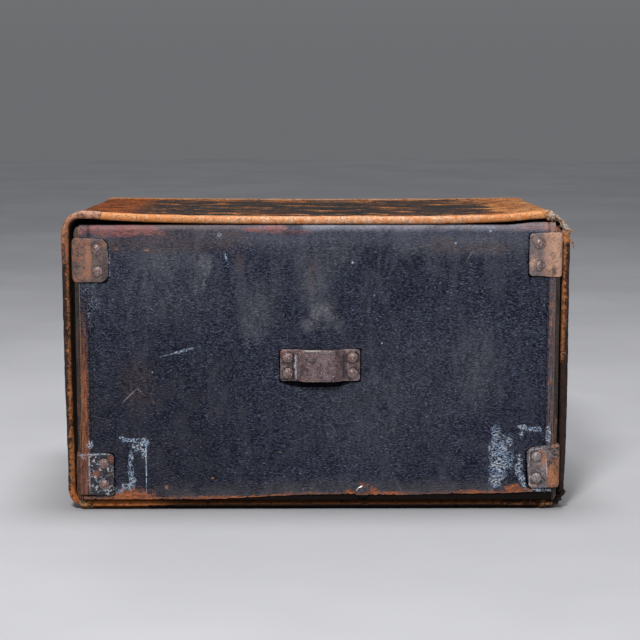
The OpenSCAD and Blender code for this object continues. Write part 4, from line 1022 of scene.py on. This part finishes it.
def torn_corners():
    rng = random.Random(11)

    def on_rim(station, across, front, back):
        """A random depth at a share of the way from the rim's inner line to its outer one."""
        o, i, _ = station
        x, z = i + (o - i) * across
        return Vector((x, RIM_Y + rng.uniform(front, back), z))

    # Top right: the leather is gone from the outside, and frayed canvas is left
    line = joined(straight("top", CASE_X - LEG + 0.4, TURN_X, 1.5), corner(90, 0, 24),
                  straight("right", TURN_Z, CASE_Z - LEG + 0.4, 1.5))
    b = Build().loft(binding_rings(line, 2.3, 0.9, 0.1, (1.5, 1.5)))
    for k in range(120):
        station = line[rng.randrange(len(line))]
        nx, nz = station[2]
        inside = k % 3 == 0
        start = on_rim(station, rng.uniform(-0.05, 0.3) if inside else rng.uniform(0.4, 1), -0.3, 2.5)
        lean = Vector((nx, 0, nz)) * (rng.uniform(-1, -0.2) if inside else rng.uniform(0.2, 0.9))
        lean += Vector((-nz, 0, nx)) * rng.uniform(-1, 1) + Vector((0, rng.uniform(-0.6, 0.1), 0))
        length = rng.uniform(2, 3.4 if inside else 4.6)
        curl = Vector((rng.uniform(-1, 1), 0, rng.uniform(-1.6, 0.4)))
        points = [start + lean.normalized() * length * t + curl * t * t for t in (0, 0.3, 0.55, 0.8, 1)]
        b.strand(points, rng.uniform(0.25, 0.6))
    spike = ((-0.6, 1, 274), (1.6, 0.5, 273), (3.2, 0.2, 270.5), (2.6, 0, 267))
    b.strand([(CASE_X + x, RIM_Y + y, z) for x, y, z in spike], 1.3)
    b.piece("torn_corner_top_right", TORN, "sleeve", "rim_corner_top_right", 50)

    # Bottom left: the left piece hangs down past the corner, and the bottom one has split off it
    side = joined(straight("left", LEG - 0.4, OUTER_R, 1.5), corner(180, 232, 14))
    binding("split_corner_side", side, BINDING, "rim_corner_bottom_left", 4.4, rough=0.4, swell=0.3,
            ends=(1, 7))
    under = joined(corner(245, 270, 8), straight("bottom", -TURN_X, -CASE_X + LEG - 0.4, 1.5))
    b = Build().loft(binding_rings(under, 6.1, 0.5, 0.5, (5, 1)))
    for _ in range(18):
        start = on_rim(under[rng.randrange(4)], rng.uniform(0.2, 1), -0.2, 2)
        lean = Vector((-0.7, rng.uniform(-0.4, 0.1), rng.uniform(0.1, 0.9))).normalized()
        points = [start + lean * rng.uniform(1.5, 3.2) * t for t in (0, 0.4, 0.75, 1)]
        b.strand(points, rng.uniform(0.25, 0.5))
    b.piece("split_corner_bottom_left", TORN, "sleeve", "rim_corner_bottom_left", 50)

    # Bottom right: shreds of black leather curl off the corner
    line = joined(straight("right", LEG - 0.4, OUTER_R, 1.5), corner(360, 270, 20),
                  straight("bottom", TURN_X, CASE_X - LEG + 0.4, 1.5))
    b = Build().loft(binding_rings(line, 8.8, 0.55, 0.1, (1.5, 1.5)))
    forward = Vector((0, -1, 0))
    for _ in range(22):
        base = on_rim(line[rng.randrange(2, 20)], rng.uniform(0, 1), 0.2, 1.4)
        run = Vector((rng.uniform(-0.5, 0.8), rng.uniform(-0.5, -0.1), rng.uniform(-0.3, 1))).normalized()
        wide = run.cross(Vector((0, 1, 0.2))).normalized()
        length, width, curl = rng.uniform(3, 8), rng.uniform(2, 4.2), rng.uniform(-1.8, 1.8)
        rings = []
        for t in np.linspace(0, 1, 7):
            c = base + run * length * t + forward * 1.4 * math.sin(2.2 * t) + wide * curl * t * t
            w = wide * (width * (1 - 0.75 * t ** 2) / 2)
            up = forward * 0.35
            rings.append([c + w, c + up, c - w, c - up])
        rings = np.array(rings)
        rings[..., 2] = np.maximum(rings[..., 2], 0.4)
        b.loft(warp(rings))
    b.piece("shredded_corner_bottom_right", TORN, "sleeve", "rim_corner_bottom_right", 50)


torn_corners()


def back_binding():
    """Eight lengths of binding folded over the back's edge."""
    end_x, low, high = 226, 28, 276      # where the straight lengths end
    gap = 0.4                            # from them to the corner lengths
    fold = 3                             # radius over the edge
    legs = [straight("top", -end_x, end_x, 4), straight("bottom", -end_x, end_x, 4),
            straight("left", low, high, 4), straight("right", low, high, 4)]
    for s, side_angle, top in ((-1, 180, False), (-1, 180, True), (1, 360, False), (1, 0, True)):
        legs.append(joined(straight("top" if top else "bottom", s * (end_x + gap), s * TURN_X, 2),
                           corner(90 if top else 270, side_angle, 12),
                           straight("right" if s > 0 else "left", TURN_Z if top else OUTER_R,
                                    high + gap if top else low - gap, 2)))
    nose = [(fold - fold * math.cos(a), fold - fold * math.sin(a)) for a in np.radians((18, 36, 54, 72))]
    b = Build()
    for number, line in enumerate(legs):
        rings = []
        for o, i, n in line:
            edge_y = LAP + 0.8 * lump(o[0] / 7, number, o[1] / 7)
            edge_in = LAP + 0.8 * lump(o[1] / 8, number, o[0] / 8)
            outside = [(0.4, edge_y), (0, edge_y - 0.7), (0, 8), (0, fold), *nose,
                       (fold, 0), (8, 0), (edge_in - 0.7, 0), (edge_in, 0.4)]
            ring = []
            for inset, y in outside + [(edge_in, 1), (1, 1), (1, edge_y)]:
                place = np.array([o[0] - n[0] * inset, BACK_Y - y, o[1] - n[1] * inset])
                if (inset, y) in outside and n[1] >= -0.5:
                    push = 0.3 * noise.noise(Vector(place) / 12 + Vector((number * 3.1, 0, 0)))
                    place += push * (np.array([n[0], 0, n[1]]) if inset < fold else np.array([0, 1, 0]))
                ring.append(place)
            rings.append(ring)
        b.loft(warp(rings))
    b.piece("edge_binding_back", BINDING, "sleeve", "back_binding", 50)


back_binding()


# The tray's front

def free_of_fittings(x, z):
    """0 under the brackets, the strap's ends and the stud, and 1 elsewhere."""
    soft, flat_end = 3, 16               # width of the blend, and length of the strap's flat ends
    insides = [STUD_R - np.hypot(x - STUD_X, z - STUD_Z)]
    for side, leg, mid in BRACKETS.values():
        across = side * (x - in_from(side, leg - PLATE))
        insides.append(np.minimum(across, BRACKET_H / 2 - np.abs(z - mid)))
    for low, high in ((STRAP_LOW[0], STRAP_LOW[0] + flat_end), (STRAP_HIGH[0] - flat_end, STRAP_HIGH[0])):
        insides.append(np.minimum(np.minimum(x - low, high - x),
                                  np.minimum(z - STRAP_LOW[2], STRAP_HIGH[2] - z)))
    return np.min([1 - smooth((inside + soft) / soft) for inside in insides], axis=0)


def front_leather():
    xs = np.linspace(PANEL_LOW[0], PANEL_HIGH[0], 330)
    rows = np.concatenate([np.linspace(0, 0.03, 7), np.linspace(0.04, 0.95, 100),
                           np.linspace(0.955, 1, 14)])
    bend = 6           # radius over the top edge
    inner_bend = bend - SKIN
    lean_back = 0.5
    top_start = PANEL_TOP - bend
    back = PANEL_HIGH[1]
    rings = []
    for k, x in enumerate(xs):
        from_side = min(k, len(xs) - 1 - k)
        hem = np.interp(x, *HEM) + 0.35 * lump(x / 2.2, 3, 1) + 0.5 * lump(x / 9, 8, 1)
        hem += max(0, lump(x / 3.1, 5, 2) - 0.2) * 2.8 + 0.3 * lump(x / 1.1, 9, 9)
        z = hem + (top_start - hem) * rows
        face = np.stack([np.full_like(z, x), np.full_like(z, FACE_Y), z], -1)
        lift = 2.7 * smooth((x - 188) / 34)
        push = 0.42 * wave(face, 48, 1) + 0.24 * wave(face, 16, 2) + 0.12 * wave(face, 6, 3)
        crease = 0.05 + 0.3 * max(0, lump(x / 40, 2, 1) + 0.1)
        push -= crease * np.exp(-((z - 279 + 0.8 * lump(x / 12, 1, 1)) / 1.1) ** 2)
        push -= lean_back * np.clip((z - 270) / (top_start - 270), 0, 1) ** 2
        for seam in SEAMS:
            push -= 0.35 * math.exp(-((x - seam) / 1.3) ** 2)
        push += 0.5 * np.exp(-((z - hem) / 2.5) ** 2) * (0.4 + lump(x / 6, 4, 4))
        push = np.clip(push, -0.75, 0.8) * free_of_fittings(face[:, 0], z)
        if from_side < 2:
            push -= (0.45, 0.15)[from_side]
        face[:, 1] -= push
        ring = face.tolist()
        for a in np.radians((15, 30, 45, 60, 75, 90)):
            c, s = math.cos(a), math.sin(a)
            spot = Vector((x, FACE_Y + bend - (bend - lean_back) * c, top_start + bend * s))
            out = 0.3 * noise.noise(spot / 11) * (1 if a < 1.5 else 0.5) - (0.3 if from_side < 1 else 0)
            out = min(out, 0.25 + lift)
            ring.append((x, spot.y - out * c, spot.z + out * s * 0.5 + lift * s ** 2))
        ring += [(x, back - 1, PANEL_TOP + lift * 0.5), (x, back, PANEL_TOP - 0.4),
                 (x, back, PANEL_TOP - SKIN), (x, FACE_Y + bend, PANEL_TOP - SKIN)]
        ring += [(x, FACE_Y + bend - inner_bend * math.cos(a), top_start + inner_bend * math.sin(a))
                 for a in np.radians((70, 50, 30, 10))]
        ring += [(x, FACE_Y + SKIN, z_in) for z_in in (200, 120, 60, hem + 4, hem + 0.3)]
        rings.append(ring)
    Build().loft(rings).piece("panel_leather", PANEL, "tray", "tray_front_leather", 60)


front_leather()


def stitches():
    """Short rounded stitches along both seams, each a little out of line."""
    rng = random.Random(5)
    b = Build()
    pitch, half_length, thick, arch = 6.5, 2.2, 0.52, 0.22
    first_z, last_z = 19.6, PANEL_TOP - 9
    for seam, side in zip(SEAMS, (-1, 1)):
        middles = [mid for bracket_side, _, mid in BRACKETS.values() if bracket_side == side]
        z = first_z
        while z < last_z:
            if all(abs(z - mid) >= (BRACKET_H + 2 * half_length) / 2 + 1 for mid in middles):
                tilt, aside = rng.uniform(-0.25, 0.25), rng.uniform(-0.25, 0.25)
                rings = []
                for t in np.linspace(-1, 1, 9):
                    fat = thick * math.sqrt(max(0.03, 1 - abs(t) ** 4))
                    x, y = seam + aside + tilt * t, FACE_Y - arch * (1 - t * t)
                    rings.append([(x + fat * c, y + 0.8 * fat * s, z + half_length * t)
                                  for c, s in circle(8)])
                b.loft(rings)
            z += pitch
    b.piece("seam_stitches", THREAD, "tray", "front_stitching")


stitches()


def bracket(name, bulge, radius, chop, bow, flange=0, emboss=0, seed=0, round_outer=1.5, tilt_top=0,
            tilt_low=0, bulge_end=14, lean=0):
    """Sheet iron bent round the tray's front edge, dented and worn."""
    side, leg, mid = BRACKETS[name]
    deep = 35            # how far it reaches back along the side
    reach = leg - PLATE
    cx, cy = -PLATE - bulge + radius, -PLATE + radius
    path = []            # x inwards, y back, normal in x and y, distance to the nearer free end
    for y in np.linspace(deep, max(cy + 1, 4), 14):
        path.append((-PLATE - bulge * smooth((bulge_end - y) / (0.7 * bulge_end)), y, -1, 0, deep - y))
    for a in np.radians(np.linspace(180, 270, 9)):
        path.append((cx + radius * math.cos(a), cy + radius * math.sin(a), math.cos(a), math.sin(a), 30))
    for x in np.linspace(cx, reach, 30)[1:]:
        path.append((x, -PLATE, 0, -1, reach - x))
    outer, inner = [], []
    for x, y, nx, ny, end in path:
        on_front = ny < -0.9
        cut, slope = (chop, 0.85) if on_front else (5, 0.6)
        half = BRACKET_H / 2 - max(0, cut - end) * slope - (0.35 if end < 0.8 else 0)
        # The corners at the bend are rounded, seen from the front
        inset = min(round_outer, max(0, x + PLATE + bulge))
        half -= ((round_outer - math.sqrt(round_outer ** 2 - (round_outer - inset) ** 2))
                 * (1 - smooth((y - 5) / 14)))
        across = np.clip(x / reach, 0, 1)
        row_out, row_in = [], []
        for v in np.linspace(-1, 1, 27):
            z = mid + v * half + 0.3 * lump(x / 6 + seed, v * 4, 1)
            z += (tilt_top if v > 0 else tilt_low) * abs(v) * (0.5 - across)
            stretch = bow * (1 - v * v) + 0.5 * lump(v * 5, seed, 2) - lean * (0.6 - 0.5 * v)
            xx = x * (1 + stretch * (x / reach) / reach) if on_front else x
            spot = Vector((in_from(side, xx), FACE_Y + y, z))
            dent = 0.34 * noise.noise(spot / 9 + Vector((seed, 0, 0))) + 0.2 * noise.noise(spot / 3.5)
            if on_front:
                if flange:
                    dent += 0.55 * smooth((flange - xx) / 0.9 + 0.5)
                from_edge = min(reach - x, half - abs(v) * half)
                dent += emboss * math.exp(-((from_edge - 2.6) / 0.9) ** 2)
                for pin in PINS:
                    dent -= 0.3 * math.exp(-(math.hypot(reach - 10 - x, z - mid - pin) / 5.4) ** 2)
            rim = 0.4 * math.exp(-(1 - abs(v)) * half / 0.5)
            rim += 0.4 * math.exp(-end / 0.5) if end < 2 else 0
            off = max(-0.5, dent) - rim
            back = -PLATE + (0.02 if on_front or nx < -0.9 else 0)
            for row, k in ((row_out, off), (row_in, back)):
                row.append((in_from(side, xx + nx * k), FACE_Y + y + ny * k, z))
        outer.append(row_out)
        inner.append(row_in)
    Build().shell(outer, inner).piece("corner_bracket_" + name, IRON[name], "tray", "bracket_" + name, 50)


bracket("top_left", 1.3, 4, 5, 0.9, seed=1.3, round_outer=5, tilt_top=1.2)
bracket("top_right", 0.4, 2.4, 2.5, 0.2, seed=2.9, round_outer=3.4, tilt_top=1.2, tilt_low=-1.5)
bracket("bottom_left", 0, 2, 2.2, 0, 11.4, seed=4.1, tilt_top=2.6, tilt_low=1.5)
bracket("bottom_right", 1.6, 3, 4.5, 0.5, 10.6, 0.55, 6.6, round_outer=2.5, tilt_top=4.6, tilt_low=2.2,
        bulge_end=5.5, lean=2.6)

SHANK_R = 1.6
# A rivet's head in radius and height: a thin skirt round a dome with a dimple
HEAD = ((5, 0), (4.95, 0.3), (4.6, 0.55), (4.1, 0.6), (3.75, 0.5), (3.5, 0.7), (3.2, 1.15), (2.7, 1.55),
        (2, 1.8), (1.3, 1.9), (0.7, 1.78), (0.02, 1.72))
FLAT_HEAD = ((SHANK_R, -3.9), (3.8, 0), (3.75, 0.3), (3.4, 0.48), (1.2, 0.5), (0.02, 0.38))


def uneven(x, y, z, u, v, h):
    """A point of a hammered head: its skirt is lobed and its dome is dented."""
    lobes = lump(u / 2.2, v / 2.2, x + z) + 0.5 * lump(u, v, x - z)
    grow = 1 + (0.09 * lobes if math.hypot(u, v) > 2 else 0)
    return (x + u * grow, y - h - (0.12 * lobes if h > 0.2 else 0), z + v * grow)


def rivets():
    heads, strap_heads, flats = Build(), Build(), Build()
    on_bracket, on_strap = 1.35, 2.8     # how far in front of the panel the heads sit
    flat_y = FACE_Y + 25                 # where the flat rivets pass through the tray's sides
    for side, leg, mid in BRACKETS.values():
        for z in [mid + pin for pin in PINS]:
            x = in_from(side, leg - PIN_IN)
            tilt = 0.06 * lump(x, z, 1)
            heads.lathe([(SHANK_R, -6.9), *HEAD],
                        lambda u, v, h: uneven(x, FACE_Y - on_bracket + tilt * u, z, u, v, h))
            flats.lathe(FLAT_HEAD, lambda u, v, h: (in_from(side, -PLATE - h), flat_y + u, z + v), 20)
    for dx, dz in STRAP_PINS:
        x, y, z = STRAP_X + dx, FACE_Y - on_strap, STRAP_Z + dz
        strap_heads.lathe([(SHANK_R, -8.3), *HEAD], lambda u, v, h: uneven(x, y, z, u, v, 1.1 * h))
    for build, place in ((heads, "bracket"), (flats, "side"), (strap_heads, "strap")):
        build.piece(place + "_rivet_heads", RIVET, "tray", place + "_rivets", 55)


rivets()


def pull_strap():
    """A stiff leather strap, flat at its ends and bowed in the middle."""
    half_w, half_h, thick, bow = 40, 16, 3, 8
    edge_r = 1.8
    rings = []
    for x in np.linspace(-half_w, half_w, 90):
        end = half_w - abs(x)
        rise = bow * smooth((end - 15) / 11)
        tall = half_h - edge_r + math.sqrt(max(0, edge_r ** 2 - (edge_r - min(edge_r, end)) ** 2))
        pinch = 0.35 * math.exp(-((abs(x) - 25) / 1.2) ** 2)
        front, back = [], []
        for v in np.linspace(-1, 1, 21):
            z = STRAP_Z + v * tall
            cup = 0.5 * v * v * (rise / bow)
            ragged = (0.3 * lump(x / 7, v * 2, 3) + 0.25 * lump(x / 2, v, 5)) * abs(v)
            dent = 0.22 * lump(x / 9, 1, (z + ragged) / 9) + 0.1 * lump(x / 3, 5, (z + ragged) / 3)
            off = thick + min(0, dent - 0.22) - pinch - 0.9 * max(0, (abs(v) - 0.88) / 0.12) ** 2
            off -= cup + (0.3 if end < 1 else 0)
            front.append((STRAP_X + x, FACE_Y - rise - off, z + ragged))
            off = 0.5 * max(0, (abs(v) - 0.9) / 0.1) ** 2 - cup
            back.append((STRAP_X + x, FACE_Y - rise - off, z))
        rings.append(front + back[::-1])
    Build().loft(rings).piece("pull_strap_leather", STRAP, "tray", "pull_strap", 50)


pull_strap()


def edge_stud():
    """A nickel cap whose face is still mostly covered by a flap of the panel's leather."""
    cap = ((1, -5), (1, -0.1), (6.9, 0), (6.95, 0.5), (6.4, 1), (5.2, 1.5), (3.4, 1.8),
           (1.5, 1.95), (0.02, 2))
    flap_r, hem_z = 7.9, 16.4
    bare_angle = math.radians(134)       # where the flap has worn away from the cap
    solid = Build().lathe(cap, lambda u, v, h: (STUD_X + u, FACE_Y - h, STUD_Z + v), 36)
    solid.piece("edge_stud_cap", STUD, "tray", "edge_stud", 55)
    outer, inner = [], []
    for a in np.linspace(0, 2 * math.pi, 49):
        c, s = math.cos(a), math.sin(a)
        bare = smooth((math.cos(a - bare_angle) - 0.56) / 0.3)
        limit = flap_r - 2.3 * bare + 0.2 * lump(c * 2, s * 2, 7)
        if s < 0:
            limit = min(limit, (STUD_Z - hem_z) / -s)
        row_out, row_in = [], []
        for r in limit * np.linspace(0.02, 1, 12):
            h = 2.35 - 0.028 * r * r - smooth((r - 7) / 0.9)
            row_out.append((STUD_X + r * c, FACE_Y - max(h, 0.15), STUD_Z + r * s))
            row_in.append((STUD_X + r * c, FACE_Y - max(h - 0.5, 0.02), STUD_Z + r * s))
        outer.append(row_out)
        inner.append(row_in)
    Build().shell(outer, inner).piece("stud_cover", PANEL, "tray", None, 50)


edge_stud()


# What the tray holds

def padded_rests():
    """Two felt-covered rests, crowned, with a piped seam round their lower edge."""
    low, high = box_mm("camera_rests")
    width = 34
    square_x, square_y = 0.35, 0.16      # the lower, the squarer the outline
    half_x, half_y, tall = width / 2, (high[1] - low[1]) / 2, high[2] - low[2] - 0.5
    # Share of the half width that is left at each share of the height
    levels = ((0, 0), (0.97, 0), (0.99, 0.06), (0.985, 0.12), (0.96, 0.15), (0.985, 0.2), (1, 0.35),
              (0.995, 0.55), (0.95, 0.75), (0.84, 0.88), (0.66, 0.955), (0.42, 0.99), (0.18, 1), (0, 1))
    for name, x0 in (("camera_rest_left", low[0]), ("camera_rest_right", high[0] - width)):
        rings = []
        for share, up in levels:
            inset = (1 - share) * half_x
            ring = []
            for c, s in circle(96):
                x = x0 + half_x + math.copysign(max(0, half_x * abs(c) ** square_x - inset), c)
                y = low[1] + half_y + math.copysign(max(0, half_y * abs(s) ** square_y - inset), s)
                pucker = 0.35 * lump(x / 6, y / 6, up * 3) if up > 0.1 else 0
                ring.append((x, y, low[2] + tall * up + pucker * min(1, up * 3) * 0.5))
            rings.append(ring)
        Build().loft(rings).piece(name, FELT, "tray", "camera_rests", 60)


padded_rests()

for finish, names in (
        (WOOD, ("sleeve_base_board", "tray_front_board", "tray_left_board", "tray_right_board",
                "tray_back_board", "tray_bottom_board", "divider_cleats")),
        (TRAY_LEATHER, ("tray_left_leather", "tray_right_leather", "tray_back_leather",
                        "tray_base_leather")),
        (BAIZE, ("tray_lining", "long_divider", "short_divider")), (RIVET, ("rivet_washers",))):
    for name in names:
        materials = nodes[name].data.materials
        materials.clear()
        materials.append(finish.mat)


# Floor, light and camera

def stage():
    half = 9
    mesh = bpy.data.meshes.new("floor")
    corners = [(-half, -half, 0), (half, -half, 0), (half, half, 0), (-half, half, 0)]
    mesh.from_pydata(corners, [], [range(4)])
    mesh.materials.append(FLOOR.mat)
    linked("floor", mesh)

    world = bpy.data.worlds.new("studio")
    bpy.context.scene.world = world
    world.use_nodes = True
    tree = world.node_tree
    up = field(tree, "SeparateXYZ", {0: field(tree, "TexCoord", {}, "Generated")}, "Z")
    ramp = tree.nodes.new("ShaderNodeValToRGB")
    low, high = ramp.color_ramp.elements
    low.position, low.color = 0.02, (0.15, 0.152, 0.16, 1)
    high.position, high.color = 0.9, (0.38, 0.385, 0.4, 1)
    put(ramp.inputs["Fac"], up)
    put(tree.nodes["Background"].inputs["Color"], Field(tree, ramp.outputs["Color"]))

    for name, place, aim, size, power in (("key", (-0.35, -1.75, 1.95), (0, -0.12, 0.14), 0.42, 46),
                                          ("above", (0.1, 0.1, 2.5), (0, -0.05, 0.2), 0.8, 38)):
        data = bpy.data.lights.new(name, "AREA")
        data.shape = "DISK"
        data.size = size
        data.energy = power
        lamp = linked(name, data)
        lamp.location = place
        lamp.rotation_euler = (Vector(aim) - Vector(place)).to_track_quat("-Z", "Y").to_euler()

    data = bpy.data.cameras.new("camera")
    data.sensor_width = 36
    data.lens = 92.8
    data.clip_end = 60
    camera = linked("camera", data)
    camera.location = (-0.0091, -1.775, 0.42)
    camera.rotation_euler = (math.radians(82.2), 0, math.radians(-0.45))
    bpy.context.scene.camera = camera


stage()
bpy.context.scene.view_settings.view_transform = "Standard"
